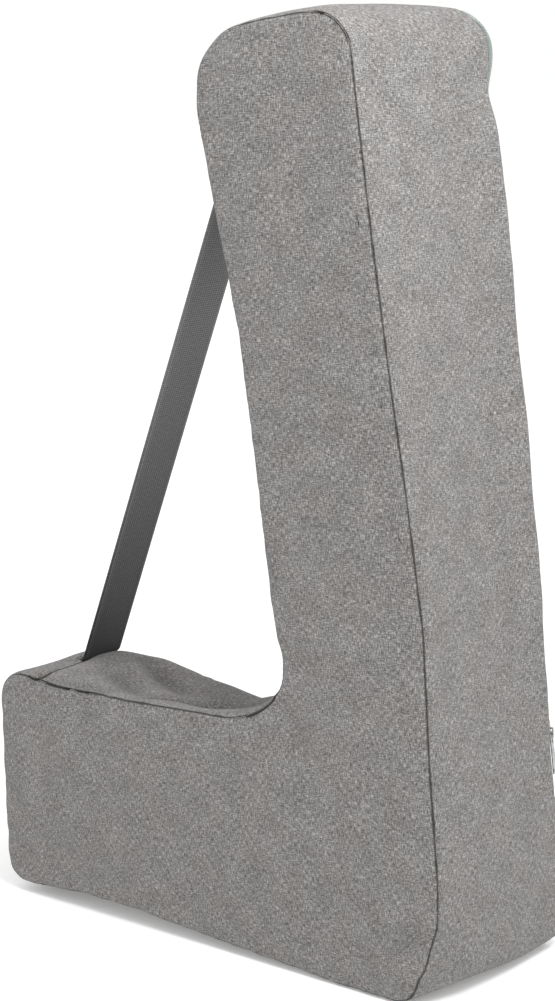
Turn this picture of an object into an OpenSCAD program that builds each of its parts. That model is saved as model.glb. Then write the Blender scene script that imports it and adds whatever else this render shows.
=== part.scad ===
// Padded L-shaped back support: two foam blocks in a zipped fabric cover, with a
// webbing strap from the end of the arm to the top of the upright.
// Millimetres. +Z is up and the base lies on Z = 0. +X points out of the flat back,
// so the arm runs towards -X. The zip follows the back edge on the +Y side.

/* [Overall] */
// Length of the base, from the tip of the arm to the heel
base_length = 375; // [340:1:410]
// Length of the upright along its own back
upright_length = 606; // [550:1:680]
// Width across the two side panels
body_width = 137; // [120:1:155]
// Depth of the upright, front to back
upright_depth = 111; // [95:1:125]
// Height of the arm
arm_height = 164; // [150:1:190]
// Lean of the upright towards the arm, in degrees
lean = 6.15; // [0:0.05:9]

/* [Corners] */
// Radius at the top of the back
top_back_radius = 24; // [15:1:35]
// Radius at the top of the front
top_front_radius = 26; // [15:1:35]
// Radius inside the L, where the cover bridges the corner
inner_radius = 45; // [25:1:60]
// Radius on top of the arm's tip
tip_top_radius = 20; // [10:1:30]
// Radius under the arm's tip
tip_bottom_radius = 30; // [15:1:40]
// Radius of the heel
heel_radius = 38; // [20:1:50]

/* [Cover] */
// Thickness of the woven fabric with its lining
fabric = 1.2; // [0.8:0.1:2]
// Diameter of the sewing thread
thread = 0.6; // [0.4:0.1:0.8]
// Play between the cover and the foam
foam_play = 0.2; // [0:0.1:0.5]

/* [Strap] */
// Width of the webbing
strap_width = 38; // [25:1:50]
// Thickness of the webbing
strap_thickness = 1.4; // [1:0.1:2]
// Distance from the arm's tip to the seam that holds the strap
strap_setback = 34; // [30:1:60]
// Distance from the top of the front to the seam that holds the strap
strap_drop = 30; // [28:1:60]
// Length of webbing sewn inside the cover at each end
strap_tab = 16; // [10:1:25]

/* [Zip] */
// Turn of the zip away from the flat back, in degrees
zip_turn = 20; // [10:1:35]
// Width of back edge taken up by the zip
zip_band = 15; // [12:1:20]
// Width of one half of the tape
tape_width = 7.3; // [6:0.1:10]
// Thickness of the tape
tape_thickness = 0.8; // [0.5:0.1:1]
// Width of one half of the coil
coil_width = 2.4; // [1.8:0.1:3]
// Height of the coil
coil_height = 2; // [1.5:0.1:2.6]
// Gap between the two halves, where the slider's wedge runs
zip_gap = 1.4; // [1.2:0.1:2]
// Height of the zip's lower end on the upright
zip_low = 104; // [90:1:140]
// Length of zip that runs forward over the top
zip_top_run = 44; // [20:1:50]
// Height of the slider when the zip is closed
slider_rest = 142; // [130:1:200]

/* [Hidden] */
$fn = 48;
corner_steps = 8;
big = 1000;
pivot_z = arm_height / 2;
half_width = body_width / 2;
zip_radius = top_back_radius;
groove = thread + 0.3;
slot = strap_thickness + 0.6;

// ---- outline of the L, seen from the near side --------------------------------

// A point of the leaning upright, given in its own straight axes, in the object's axes.
function leaned(p) = [
    p[0] * cos(lean) - (p[1] - pivot_z) * sin(lean),
    pivot_z + p[0] * sin(lean) + (p[1] - pivot_z) * cos(lean)
];

// Height, in the upright's own axes, at which its front face meets the top of the arm.
front_foot = pivot_z + (arm_height - pivot_z + upright_depth * sin(lean)) / cos(lean);

// Corners of the cover: x, z and radius. A radius of 0 marks a cross seam or a bend.
HEEL_SEAM = 0;
HEEL = 1;
BEND = 2;
TOP_BACK = 3;
TOP_FRONT = 4;
TOP_SEAM = 5;
INNER = 6;
ARM_SEAM = 7;
TIP_TOP = 8;
TIP_BOTTOM = 9;
TOE_SEAM = 10;

corners = [
    [-heel_radius - 4, 0, 0],
    [0, 0, heel_radius],
    [0, pivot_z, 0],
    concat(leaned([0, upright_length]), top_back_radius),
    concat(leaned([-upright_depth, upright_length]), top_front_radius),
    concat(leaned([-upright_depth, upright_length - strap_drop]), 0),
    concat(leaned([-upright_depth, front_foot]), inner_radius),
    [-base_length + strap_setback, arm_height, 0],
    [-base_length, arm_height, tip_top_radius],
    [-base_length, 0, tip_bottom_radius],
    [-base_length + tip_bottom_radius + 4, 0, 0]
];
count = len(corners);

function unit(v) = v / norm(v);
function point(i) = [corners[(i + count) % count][0], corners[(i + count) % count][1]];
function heading(i) = unit(point(i + 1) - point(i));
function inward(i) = [-heading(i)[1], heading(i)[0]];
function turn(i) = heading(i - 1)[0] * heading(i)[1] - heading(i - 1)[1] * heading(i)[0];

// Corner i moved inwards by d, on the crossing of its two moved edges.
function inset_corner(i, d) =
    point(i) + d * (inward(i - 1) + inward(i)) / (1 + inward(i - 1) * inward(i));

// Points of the rounded corner i on the outline that lies d inside the cover.
function corner_points(i, d) =
    let (
        at = inset_corner(i, d),
        side = turn(i) > 0 ? 1 : -1,
        radius = corners[i][2] - side * d,
        angle = acos(heading(i - 1) * heading(i)),
        reach = radius * tan(angle / 2),
        start = at - heading(i - 1) * reach,
        centre = start + side * radius * inward(i - 1),
        from = start - centre
    )
    corners[i][2] == 0
        ? [at]
        : [for (k = [0 : corner_steps])
            let (a = side * angle * k / corner_steps)
            centre + [from[0] * cos(a) - from[1] * sin(a), from[0] * sin(a) + from[1] * cos(a)]];

function run(first, last, d) = [for (i = [first : last]) each corner_points(i, d)];
function reversed(list) = [for (i = [len(list) - 1 : -1 : 0]) list[i]];

// ---- placing ------------------------------------------------------------------

// Stands a profile drawn in x and z up across the width, from y = low to y = high.
module across(low, high) {
    translate([base_length / 2, high, 0])
        rotate([90, 0, 0])
            linear_extrude(high - low)
                children();
}

// Puts a child drawn in the upright's straight axes on the leaning upright.
module on_upright() {
    translate([base_length / 2, 0, pivot_z])
        rotate([0, -lean, 0])
            translate([0, 0, -pivot_z])
                children();
}

// Puts a child on the zip's centre line: x out of the tape, y across it, z along it.
module on_zip(height) {
    on_upright()
        translate([zip_centre[0], zip_centre[1], height])
            rotate([0, 0, zip_turn])
                children();
}

tape_edge = zip_gap / 2 + tape_width;
zip_centre = [-zip_band / 2 * tan(zip_turn), half_width - zip_band / 2];

// A point of the zip's cross-section, from its height over the tape and its place across it.
function zip_point(h, v) = zip_centre + [
    h * cos(zip_turn) - v * sin(zip_turn),
    h * sin(zip_turn) + v * cos(zip_turn)
];

module zip_section(h_low, h_high, v_low, v_high) {
    polygon([
        zip_point(h_low, v_low),
        zip_point(h_high, v_low),
        zip_point(h_high, v_high),
        zip_point(h_low, v_high)
    ]);
}

// Sweeps a cross-section of the zip up the back edge, round the top corner and forward.
module along_zip(extra) {
    on_upright() {
        translate([0, 0, zip_low - extra])
            linear_extrude(upright_length - zip_radius - zip_low + extra)
                children();
        translate([-zip_radius, 0, upright_length - zip_radius])
            rotate([-90, 0, 0])
                rotate([0, 0, -90])
                    rotate_extrude(angle = 90)
                        translate([zip_radius, 0])
                            children();
        translate([-zip_radius, 0, upright_length])
            rotate([0, -90, 0])
                linear_extrude(zip_top_run + extra)
                    children();
    }
}

// Square gap along the edge that the zip fills, with play all round the tape.
module zip_gap_in(play) {
    low_x = zip_point(-tape_thickness, tape_edge)[0] - play;
    low_y = zip_point(-tape_thickness, -tape_edge)[1] - play;
    along_zip(play)
        translate([low_x, low_y])
            square([12 - low_x, half_width + 1 - low_y]);
}

// ---- strap path ---------------------------------------------------------------

strap_depth = fabric + 0.3 + strap_thickness / 2;
strap_low = inset_corner(ARM_SEAM, strap_depth);
strap_high = inset_corner(TOP_SEAM, strap_depth);
strap_path = [
    strap_low - [strap_tab, 0],
    strap_low,
    strap_high,
    strap_high + strap_tab * unit(point(TOP_FRONT) - point(TOP_SEAM))
];

// Point i of the path moved sideways by d, mitred.
function beside(path, i, d) =
    let (
        before = unit(path[max(i, 1)] - path[max(i, 1) - 1]),
        after = unit(path[min(i, len(path) - 2) + 1] - path[min(i, len(path) - 2)]),
        n1 = [-before[1], before[0]],
        n2 = [-after[1], after[0]]
    )
    path[i] + d * (n1 + n2) / (1 + n1 * n2);

module band(thickness) {
    polygon(concat(
        [for (i = [0 : 3]) beside(strap_path, i, thickness / 2)],
        [for (i = [3 : -1 : 0]) beside(strap_path, i, -thickness / 2)]
    ));
}

module strap_clearance() {
    across(-strap_width / 2 - 0.5, strap_width / 2 + 0.5)
        band(slot);
}

// ---- seams --------------------------------------------------------------------

// Square groove across the gusset at cross seam i, as deep as the thread needs.
module cross_groove(i, size) {
    translate([base_length / 2, 0, 0])
        translate([inset_corner(i, thread / 2 + 0.1)[0], 0, inset_corner(i, thread / 2 + 0.1)[1]])
            rotate([0, -atan2(heading(i)[1], heading(i)[0]), 0])
                cube([size, body_width, size], center = true);
}

module cross_thread(i, length, size) {
    translate([base_length / 2, 0, 0])
        translate([inset_corner(i, thread / 2 + 0.1)[0], 0, inset_corner(i, thread / 2 + 0.1)[1]])
            rotate([90, 0, 0])
                cylinder(h = length, d = size, center = true);
}

// Ring that follows the whole outline, between two depths inside the cover.
module outline_ring(outer, inner) {
    difference() {
        polygon(run(0, count - 1, outer));
        polygon(run(0, count - 1, inner));
    }
}

// ---- cover --------------------------------------------------------------------

module side_panel(low, high, edge_low, edge_high) {
    difference() {
        across(low, high)
            polygon(run(0, count - 1, 0));
        across(edge_low, edge_high)
            outline_ring(-5, groove);
    }
}

module side_panel_near() {
    color("#8f8c88")
        side_panel(-half_width, -half_width + fabric, -half_width - 1, -half_width + groove);
}

module side_panel_far() {
    color("#8f8c88")
        difference() {
            side_panel(half_width - fabric, half_width, half_width - groove, half_width + 1);
            zip_gap_in(0.2);
        }
}

// Strip of the gusset between two cross seams.
module gusset(first, last) {
    difference() {
        across(-half_width + fabric, half_width - fabric)
            polygon(concat(run(first, last, 0), reversed(run(first, last, fabric))));
        cross_groove(first, groove);
        cross_groove(last, groove);
        strap_clearance();
    }
}

module back_gusset() {
    color("#98958f")
        difference() {
            gusset(HEEL_SEAM, TOP_SEAM);
            zip_gap_in(0.2);
        }
}

module front_gusset() {
    color("#98958f")
        gusset(TOP_SEAM, ARM_SEAM);
}

module end_gusset() {
    color("#98958f")
        gusset(ARM_SEAM, TOE_SEAM);
}

module base_panel() {
    color("#85827e")
        difference() {
            across(-half_width + fabric, half_width - fabric)
                polygon([
                    point(TOE_SEAM),
                    point(HEEL_SEAM),
                    inset_corner(HEEL_SEAM, fabric),
                    inset_corner(TOE_SEAM, fabric)
                ]);
            cross_groove(HEEL_SEAM, groove);
            cross_groove(TOE_SEAM, groove);
        }
}

// ---- foam ---------------------------------------------------------------------

module foam_blank() {
    across(-half_width + fabric + foam_play, half_width - fabric - foam_play)
        polygon(run(0, count - 1, fabric + foam_play));
}

module foam_upright() {
    color("#e8e2cf")
        difference() {
            intersection() {
                foam_blank();
                on_upright()
                    translate([-upright_depth + fabric + foam_play, -big / 2, -big / 2])
                        cube([big, big, 2 * big]);
            }
            zip_gap_in(1);
            strap_clearance();
        }
}

module foam_arm() {
    color("#ded7c2")
        difference() {
            intersection() {
                foam_blank();
                on_upright()
                    translate([-upright_depth + fabric + foam_play - 0.3 - big, -big / 2, -big / 2])
                        cube([big, big, 2 * big]);
            }
            strap_clearance();
        }
}

// ---- sewing thread ------------------------------------------------------------

module side_thread(y) {
    across(y - thread / 2, y + thread / 2)
        outline_ring(0.15, 0.15 + thread);
}

module near_seam_thread() {
    color("#5b5956")
        side_thread(-half_width + 0.15 + thread / 2);
}

module far_seam_thread() {
    color("#5b5956")
        difference() {
            side_thread(half_width - 0.15 - thread / 2);
            zip_gap_in(1);
        }
}

module top_seam_thread() {
    color("#5b5956")
        difference() {
            cross_thread(TOP_SEAM, body_width - 2 * fabric - 1, thread);
            strap_clearance();
        }
}

module arm_seam_thread() {
    color("#5b5956")
        difference() {
            cross_thread(ARM_SEAM, body_width - 2 * fabric - 1, thread);
            strap_clearance();
        }
}

module toe_seam_thread() {
    color("#5b5956")
        cross_thread(TOE_SEAM, body_width - 2 * fabric - 1, thread);
}

module heel_seam_thread() {
    color("#5b5956")
        cross_thread(HEEL_SEAM, body_width - 2 * fabric - 1, thread);
}

// ---- strap --------------------------------------------------------------------

module strap() {
    color("#4a4a4a")
        across(-strap_width / 2, strap_width / 2)
            band(strap_thickness);
}

// Row of dense stitches that holds an end of the strap, on the fabric beside the slot.
module bartack(i, step) {
    for (k = [-6 : 6])
        translate([base_length / 2, 0, 0])
            translate([inset_corner(i, -0.2)[0], 0, inset_corner(i, -0.2)[1]])
                rotate([0, -atan2(heading(i)[1], heading(i)[0]), 0])
                    translate([step, k * strap_width / 13, 0])
                        cube([2, 1, 0.4], center = true);
}

module strap_lower_bartack() {
    color("#3a3a3a")
        bartack(ARM_SEAM, 4);
}

module strap_upper_bartack() {
    color("#3a3a3a")
        bartack(TOP_SEAM, -4);
}

// ---- zip ----------------------------------------------------------------------

module zip_tape_back() {
    color("#a9b3ae")
        along_zip(0)
            zip_section(-tape_thickness, 0, -tape_edge, -zip_gap / 2);
}

module zip_tape_side() {
    color("#a9b3ae")
        along_zip(0)
            zip_section(-tape_thickness, 0, zip_gap / 2, tape_edge);
}

module zip_coil_back() {
    color("#c3cbc6")
        zip_run()
            zip_section(0, coil_height, -coil_edge, -zip_gap / 2);
}

module zip_coil_side() {
    color("#c3cbc6")
        zip_run()
            zip_section(0, coil_height, zip_gap / 2, coil_edge);
}

// The coil's length: it starts at the closing stops and ends at the opening stop.
module zip_run() {
    intersection() {
        along_zip(0)
            children();
        on_upright()
            translate([-zip_radius - zip_top_run + 8, 0, slider_rest])
                cube([big, big, big]);
    }
}

// Two stops that the closed zip's slider rests on, one on each tape.
module zip_closing_stops() {
    color("#9da3a0")
        for (side = [-1, 1])
            on_zip(slider_rest - 0.3 - stop_length)
                translate([0, side * (zip_gap / 2 + coil_width / 2) - coil_width / 2, 0])
                    cube([coil_height + 1.2, coil_width, stop_length]);
}

// Stop across both tapes at the far end of the zip, on top.
module zip_opening_stop() {
    color("#9da3a0")
        on_upright()
            translate([-zip_radius - zip_top_run + 3, 0, upright_length])
                rotate([0, -90, 0])
                    mirror([0, 0, 1])
                        linear_extrude(4)
                            zip_section(0, coil_height + 0.2, -coil_edge, coil_edge);
}

coil_edge = zip_gap / 2 + coil_width;
stop_length = 2.6;
slider_length = 11;
slider_half = 4.4;
plate = 1.2;
plate_low = coil_height + 0.4;
bridge_half = 0.9;
pull_pin = 1.2;
pull_half = 3.3;
pull_length = 27;
pin_height = plate_low + plate + 0.2 + pull_pin / 2;
pin_place = 4.2;

module zip_slider() {
    color("#8c9290")
        on_zip(slider_rest)
            union() {
                translate([plate_low, -slider_half, 0])
                    cube([plate, 2 * slider_half, slider_length]);
                for (side = [-1, 1])
                    translate([0.4, side * (slider_half - 0.4) - 0.4, 0])
                        cube([plate_low, 0.8, slider_length]);
                translate([-tape_thickness - 0.4 - plate, -slider_half, 0])
                    cube([plate, 2 * slider_half, slider_length]);
                translate([-tape_thickness - 1, -0.35, 0.6])
                    cube([plate_low + tape_thickness + 1.2, 0.7, 3.6]);
                slider_bridge();
            }
}

// Arch over the top plate that holds the pull's pin.
module slider_bridge() {
    foot = 1.5;
    opening = pull_pin + 0.4;
    for (place = [pin_place - 3.2, pin_place + 2])
        translate([plate_low + plate - 0.1, -bridge_half, place])
            cube([opening + 1.1, 2 * bridge_half, foot]);
    translate([plate_low + plate + opening, -bridge_half, pin_place - 3.2])
        cube([1, 2 * bridge_half, 5.2 + foot]);
}

module zip_pull() {
    color("#8c9290")
        on_zip(slider_rest)
            translate([pin_height, 0, pin_place])
                union() {
                    rotate([90, 0, 0])
                        cylinder(h = 2 * pull_half, d = pull_pin, center = true);
                    for (side = [-1, 1])
                        translate([-pull_pin / 2, side * (pull_half - 0.9) - 0.9, -8])
                            cube([pull_pin, 1.8, 8]);
                    translate([-pull_pin / 2, -pull_half, -pull_length])
                        cube([pull_pin, 2 * pull_half, pull_length - 7]);
                }
}

side_panel_near();
side_panel_far();
back_gusset();
front_gusset();
end_gusset();
base_panel();
foam_upright();
foam_arm();
near_seam_thread();
far_seam_thread();
top_seam_thread();
arm_seam_thread();
toe_seam_thread();
heel_seam_thread();
strap();
strap_lower_bartack();
strap_upper_bartack();
zip_tape_back();
zip_tape_side();
zip_coil_back();
zip_coil_side();
zip_closing_stops();
zip_opening_stop();
zip_slider();
zip_pull();
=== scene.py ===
"""Padded L-shaped back support: a zipped melange cover over foam, with a webbing strap.

Everything is in metres in the frame of the CAD model: +Z up, +X out of the flat back,
the arm towards -X and the zip on the +Y side.
"""

import logging
import math
from dataclasses import dataclass, field
from enum import Enum, IntEnum

import bmesh
import bpy
import numpy as np
from mathutils import Matrix, Vector, noise
from mathutils.geometry import delaunay_2d_cdt


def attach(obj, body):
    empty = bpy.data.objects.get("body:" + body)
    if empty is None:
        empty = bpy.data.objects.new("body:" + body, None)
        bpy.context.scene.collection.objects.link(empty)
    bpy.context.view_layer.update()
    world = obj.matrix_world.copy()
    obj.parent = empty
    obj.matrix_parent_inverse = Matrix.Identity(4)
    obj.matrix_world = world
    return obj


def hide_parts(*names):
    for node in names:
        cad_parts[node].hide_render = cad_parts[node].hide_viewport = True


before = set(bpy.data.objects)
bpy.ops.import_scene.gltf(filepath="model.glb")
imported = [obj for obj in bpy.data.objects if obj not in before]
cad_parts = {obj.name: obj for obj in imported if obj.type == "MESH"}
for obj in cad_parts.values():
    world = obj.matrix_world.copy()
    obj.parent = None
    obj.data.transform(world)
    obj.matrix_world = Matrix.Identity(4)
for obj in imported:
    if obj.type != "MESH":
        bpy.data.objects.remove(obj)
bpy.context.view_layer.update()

log = logging.getLogger("back_support")
Array = np.ndarray
ROOT = "cushion"


def only(obj: bpy.types.Object | None) -> None:
    """Selects one object alone and makes it active.

    Args:
        obj: The object, or None to leave nothing selected.
    """
    for other in bpy.context.selected_objects:
        other.select_set(False)
    if obj is not None:
        bpy.context.view_layer.objects.active = obj
        obj.select_set(True)


def smooth(t: Array | float) -> Array | float:
    """Smooth step from 0 to 1 as t goes from 0 to 1.

    Args:
        t: Where to look; values outside 0 to 1 are held at the ends.

    Returns:
        The smoothed value, of the same shape as t.
    """
    t = np.clip(t, 0.0, 1.0)
    return t * t * (3 - 2 * t)


def bell(distance: Array, width: float) -> Array:
    """Bell curve that is 1 in the middle and falls off to the sides.

    Args:
        distance: Distances from the middle.
        width: Where the curve has fallen to about a third.

    Returns:
        The curve's heights, of the same shape as distance.
    """
    return np.exp(-((distance / width) ** 2))


def within(spots: Array, loop: Array) -> Array:
    """Tells which spots lie inside a closed loop.

    Args:
        spots: Rows of two coordinates.
        loop: The loop's corners in order.

    Returns:
        True for each spot inside.
    """
    a, b = loop, np.roll(loop, -1, 0)
    crossing = (a[None, :, 1] > spots[:, None, 1]) != (b[None, :, 1] > spots[:, None, 1])
    slope = (b[:, 0] - a[:, 0]) / np.where(b[:, 1] == a[:, 1], 1e-12, b[:, 1] - a[:, 1])
    hit = a[None, :, 0] + (spots[:, None, 1] - a[None, :, 1]) * slope[None, :]
    return ((crossing & (spots[:, None, 0] < hit)).sum(1) % 2) == 1


class Mark(IntEnum):
    """Corners of the outline, in order round the L from under the heel."""

    HEEL_SEAM = 0
    HEEL = 1
    BEND = 2
    TOP_BACK = 3
    TOP_FRONT = 4
    TOP_SEAM = 5
    INNER = 6
    ARM_SEAM = 7
    TIP_TOP = 8
    TIP_BOTTOM = 9
    TOE_SEAM = 10


class Panel(IntEnum):
    """Pieces of cloth that the cover is sewn from. The zip's band is cut out again."""

    SIDE_NEAR = 0
    SIDE_FAR = 1
    BACK = 2
    FRONT = 3
    END = 4
    BASE = 5
    ZIP_BAND = 6


@dataclass(frozen=True)
class Sizes:
    """The object's sizes, as the CAD model has them."""

    length: float = 0.375
    height: float = 0.606
    width: float = 0.137
    depth: float = 0.111
    arm: float = 0.164
    lean: float = math.radians(6.15)
    zip_turn: float = math.radians(20)
    zip_band: float = 0.015
    zip_low: float = 0.104
    zip_top_run: float = 0.044
    slider_rest: float = 0.142
    top_back_radius: float = 0.024
    strap_width: float = 0.038
    strap_thickness: float = 0.0014
    strap_setback: float = 0.034
    strap_drop: float = 0.030

    @property
    def pivot(self) -> float:
        """Height at which the upright starts to lean."""
        return self.arm / 2

    @property
    def half(self) -> float:
        """Half the width."""
        return self.width / 2

    @property
    def zip_centre(self) -> tuple[float, float]:
        """Centre of the zip's band, from the back plane and across the width."""
        return (-self.zip_band / 2 * math.tan(self.zip_turn), self.half - self.zip_band / 2)

    def leaned(self, x: float, z: float) -> tuple[float, float]:
        """Place of a point given in the upright's own straight axes.

        Args:
            x: Distance behind the back plane, negative inside.
            z: Height along the upright.

        Returns:
            x and z in the object's axes.
        """
        c, s = math.cos(self.lean), math.sin(self.lean)
        return (
            self.length / 2 + x * c - (z - self.pivot) * s,
            self.pivot + x * s + (z - self.pivot) * c,
        )

    def straight(self, p: Array) -> tuple[Array, Array]:
        """Depth behind the back plane and height along the upright.

        Args:
            p: Rows of x, y and z in the object's axes.

        Returns:
            The depths, negative inside, and the heights.
        """
        c, s = math.cos(self.lean), math.sin(self.lean)
        x, z = p[:, 0] - self.length / 2, p[:, 2] - self.pivot
        return x * c + z * s, self.pivot - x * s + z * c

    def on_upright(self, p: Array) -> Array:
        """Points given in the upright's straight axes, in the object's axes.

        Args:
            p: Rows of x from the back plane, y, and z along the upright.

        Returns:
            Rows of x, y and z in the object's axes.
        """
        c, s = math.cos(self.lean), math.sin(self.lean)
        x, y, z = p[:, 0], p[:, 1], p[:, 2] - self.pivot
        return np.stack([self.length / 2 + x * c - z * s, y, self.pivot + x * s + z * c], 1)

    def zip_matrix(self, height: float) -> Matrix:
        """Placing of a zip part: x out of the tape, y across it and z up along it.

        Args:
            height: Height of the part's origin along the upright.

        Returns:
            The placing in the object's axes.
        """
        x, y = self.zip_centre
        lean = Matrix.Rotation(-self.lean, 4, "Y")
        turn = Matrix.Rotation(self.zip_turn, 4, "Z")
        return (
            Matrix.Translation((self.length / 2, 0, self.pivot))
            @ lean
            @ Matrix.Translation((x, y, height - self.pivot))
            @ turn
        )


SIZE = Sizes()
SLIT = 0.0045  # half the opening that the zip shows through
CLOTH = 0.0011  # thickness of the lined cover
CELL = 0.0055  # usual spacing of the cover's vertices
NEAR_SEAM = (0.002, 0.0045, 0.008)  # closer spacing beside a seam


def along_axes(
    rest: Array, x: Array | float = 0.0, y: Array | float = 0.0, z: Array | float = 0.0
) -> Array:
    """Rows of shifts, from what each axis has.

    Args:
        rest: The points that move, for their number.
        x: Shifts along x.
        y: Shifts along y.
        z: Shifts along z.

    Returns:
        Rows of x, y and z.
    """
    return np.stack([np.broadcast_to(v, len(rest)) for v in (x, y, z)], 1)


@dataclass(frozen=True)
class Drape:
    """How the soft support lies: its swells, sags and pulls, as shifts from the resting shape."""

    size: Sizes = SIZE

    def shift(self, rest: Array) -> Array:
        """Shift of any points of the support.

        Args:
            rest: Rows of x, y and z at rest.

        Returns:
            Rows of how far each point moves.
        """
        parts = (
            self.front_swell, self.seam_bow, self.crown, self.far_corner, self.heel_kink,
            self.base_lift, self.full_corners, self.arm_sag, self.nook,
        )
        out = np.zeros_like(rest)
        for part in parts:
            out += part(rest)
        return out

    def back(self, rest: Array) -> Array:
        """Distances of the points from the heel's plane, negative inside."""
        return rest[:, 0] - self.size.length / 2

    def front_swell(self, rest: Array) -> Array:
        """Swell of the upright's front, fullest under the strap's upper end.

        Args:
            rest: Rows of x, y and z at rest.

        Returns:
            Rows of how far each point moves.
        """
        depth, up = self.size.straight(rest)
        front = smooth((-depth - 0.03) / 0.08) * smooth((up - self.size.arm - 0.01) / 0.05)
        swell = np.interp(
            rest[:, 2],
            [0.22, 0.32, 0.41, 0.45, 0.48, 0.52, 0.548, 0.575, 0.606],
            [-0.001, 0.0, 0.002, 0.006, 0.010, 0.0135, 0.0160, 0.0105, 0.002],
        )
        return along_axes(rest, x=-swell * front)

    def seam_bow(self, rest: Array) -> Array:
        """Gentle wandering of the near back seam.

        Args:
            rest: Rows of x, y and z at rest.

        Returns:
            Rows of how far each point moves.
        """
        bow = np.interp(
            rest[:, 2],
            [0.0, 0.07, 0.156, 0.236, 0.316, 0.376, 0.47, 0.546],
            [-0.3, -0.5, 0.0, 0.85, 0.5, 0.0, -0.5, -0.7],
        )
        bow *= bell(np.hypot(rest[:, 1] + self.size.half, self.size.straight(rest)[0]), 0.04)
        return along_axes(rest, x=0.0025 * bow, y=0.005 * bow)

    def crown(self, rest: Array) -> Array:
        """Crowning of the upright's top.

        Args:
            rest: Rows of x, y and z at rest.

        Returns:
            Rows of how far each point moves.
        """
        s = self.size
        depth, up = s.straight(rest)
        cap = smooth((up - s.height + 0.035) / 0.03)
        across = np.clip(1 - (rest[:, 1] / s.half) ** 2, 0, 1)
        along = np.clip(1 - (2 * depth / s.depth + 1) ** 2, 0, 1)
        return along_axes(rest, z=cap * (-0.0035 + along * (0.0035 + 0.0045 * across)))

    def far_corner(self, rest: Array) -> Array:
        """Filling of the far top corner, above the slider's straight run.

        Args:
            rest: Rows of x, y and z at rest.

        Returns:
            Rows of how far each point moves.
        """
        depth, up = self.size.straight(rest)
        corner = smooth((up - 0.546) / 0.03) * bell(np.hypot(rest[:, 1] - self.size.half, depth), 0.05)
        return along_axes(rest, x=0.0042 * corner, y=0.0030 * corner)

    def heel_kink(self, rest: Array) -> Array:
        """Turn of the near back seam towards the arm, just over the floor.

        Args:
            rest: Rows of x, y and z at rest.

        Returns:
            Rows of how far each point moves.
        """
        kink = np.interp(
            rest[:, 2], [0.0, 0.018, 0.040, 0.055, 0.062], [-0.002, -0.0110, -0.0070, -0.0015, 0.0]
        )
        kink *= bell(rest[:, 1] + self.size.half, 0.02) * smooth((self.back(rest) + 0.06) / 0.045)
        return along_axes(rest, x=kink)

    def base_lift(self, rest: Array) -> Array:
        """Lift of the base's long edges off the floor.

        Args:
            rest: Rows of x, y and z at rest.

        Returns:
            Rows of how far each point moves.
        """
        edge = smooth((abs(rest[:, 1]) - 0.02) / 0.045)
        lift = np.interp(
            self.back(rest),
            [-0.375, -0.30, -0.25, -0.20, -0.12, -0.08],
            [0.0050, 0.0110, 0.0105, 0.0070, 0.0030, 0.0005],
        )
        return along_axes(rest, z=lift * edge * (1 - smooth(rest[:, 2] / 0.06)))

    def full_corners(self, rest: Array) -> Array:
        """Filling of the bottom corners at the heel and at the tip.

        Args:
            rest: Rows of x, y and z at rest.

        Returns:
            Rows of how far each point moves.
        """
        h, y, z = self.size.half, rest[:, 1], rest[:, 2]
        back = self.back(rest)
        heel = self.filled(back, z, 0.038, 2.0 + 2.8 * smooth((y + h - 0.03) / (1.3 * h)), 1)
        return heel + self.filled(-self.size.length - back, z, 0.030, 3.2 + 0 * y, -1)

    def arm_sag(self, rest: Array) -> Array:
        """Sag of the arm's top towards the far side, and its rise under the strap.

        Args:
            rest: Rows of x, y and z at rest.

        Returns:
            Rows of how far each point moves.
        """
        h, y = self.size.half, rest[:, 1]
        back = self.back(rest)
        arm = smooth((-back - 0.12) / 0.06) * smooth((rest[:, 2] - 0.04) / 0.1)
        fall = -0.023 * smooth((y - 0.012) / 0.054)
        dip = np.interp(
            back, [-0.375, -0.345, -0.32, -0.25, -0.19, -0.15, -0.12], [0, 0, 0.8, 0.8, 0.0, -0.3, 0]
        )
        sink = np.interp(
            back,
            [-0.30, -0.267, -0.24, -0.21, -0.18, -0.150, -0.125],
            [0.002, 0.009, 0.012, 0.017, 0.008, -0.006, -0.003],
        )
        sag = fall - 0.003 - 0.003 * dip * bell(y + h, 0.03) - sink * smooth((y + h) / 0.055)
        return along_axes(rest, z=arm * (sag + 0.003 * bell(np.hypot(y, back + 0.341), 0.022)))

    def nook(self, rest: Array) -> Array:
        """Tightening of the inside corner, and the cloth that bunches up in it.

        Args:
            rest: Rows of x, y and z at rest.

        Returns:
            Rows of how far each point moves.
        """
        y, z = rest[:, 1], rest[:, 2]
        back = self.back(rest)
        tight = bell(np.hypot(back + 0.120, z - 0.184), 0.028) * bell(y + self.size.half, 0.045)
        low = smooth((z - 0.13) / 0.03) * (1 - smooth((z - 0.20) / 0.05))
        bunch = low * bell(np.hypot(back + 0.122, (y - 0.005) / 2), 0.022)
        return along_axes(rest, x=0.0075 * tight, z=0.0110 * bunch - 0.0020 * tight)

    @staticmethod
    def filled(out: Array, z: Array, radius: float, power: Array, way: int) -> Array:
        """Shift that fills a rounded bottom corner towards its sharp shape.

        Args:
            out: Distances past the corner's upright face, negative inside.
            z: Heights.
            radius: The corner's radius.
            power: How full the corner becomes: 2 leaves it round.
            way: 1 at the heel and -1 at the tip.

        Returns:
            Rows of how far each point moves.
        """
        u, w = np.maximum(out / radius + 1, 0), np.maximum(1 - z / radius, 0)
        r = np.hypot(u, w)
        u, w, r = np.where(r < 1e-6, 1.0, u), np.where(r < 1e-6, 0.0, w), np.where(r < 1e-6, 1.0, r)
        grown = ((u / r) ** power + (w / r) ** power) ** (-1 / power) - 1
        grown *= np.minimum(r, 1) ** 2
        return np.stack([way * radius * u * grown, 0 * z, -radius * w * grown], 1)


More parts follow.
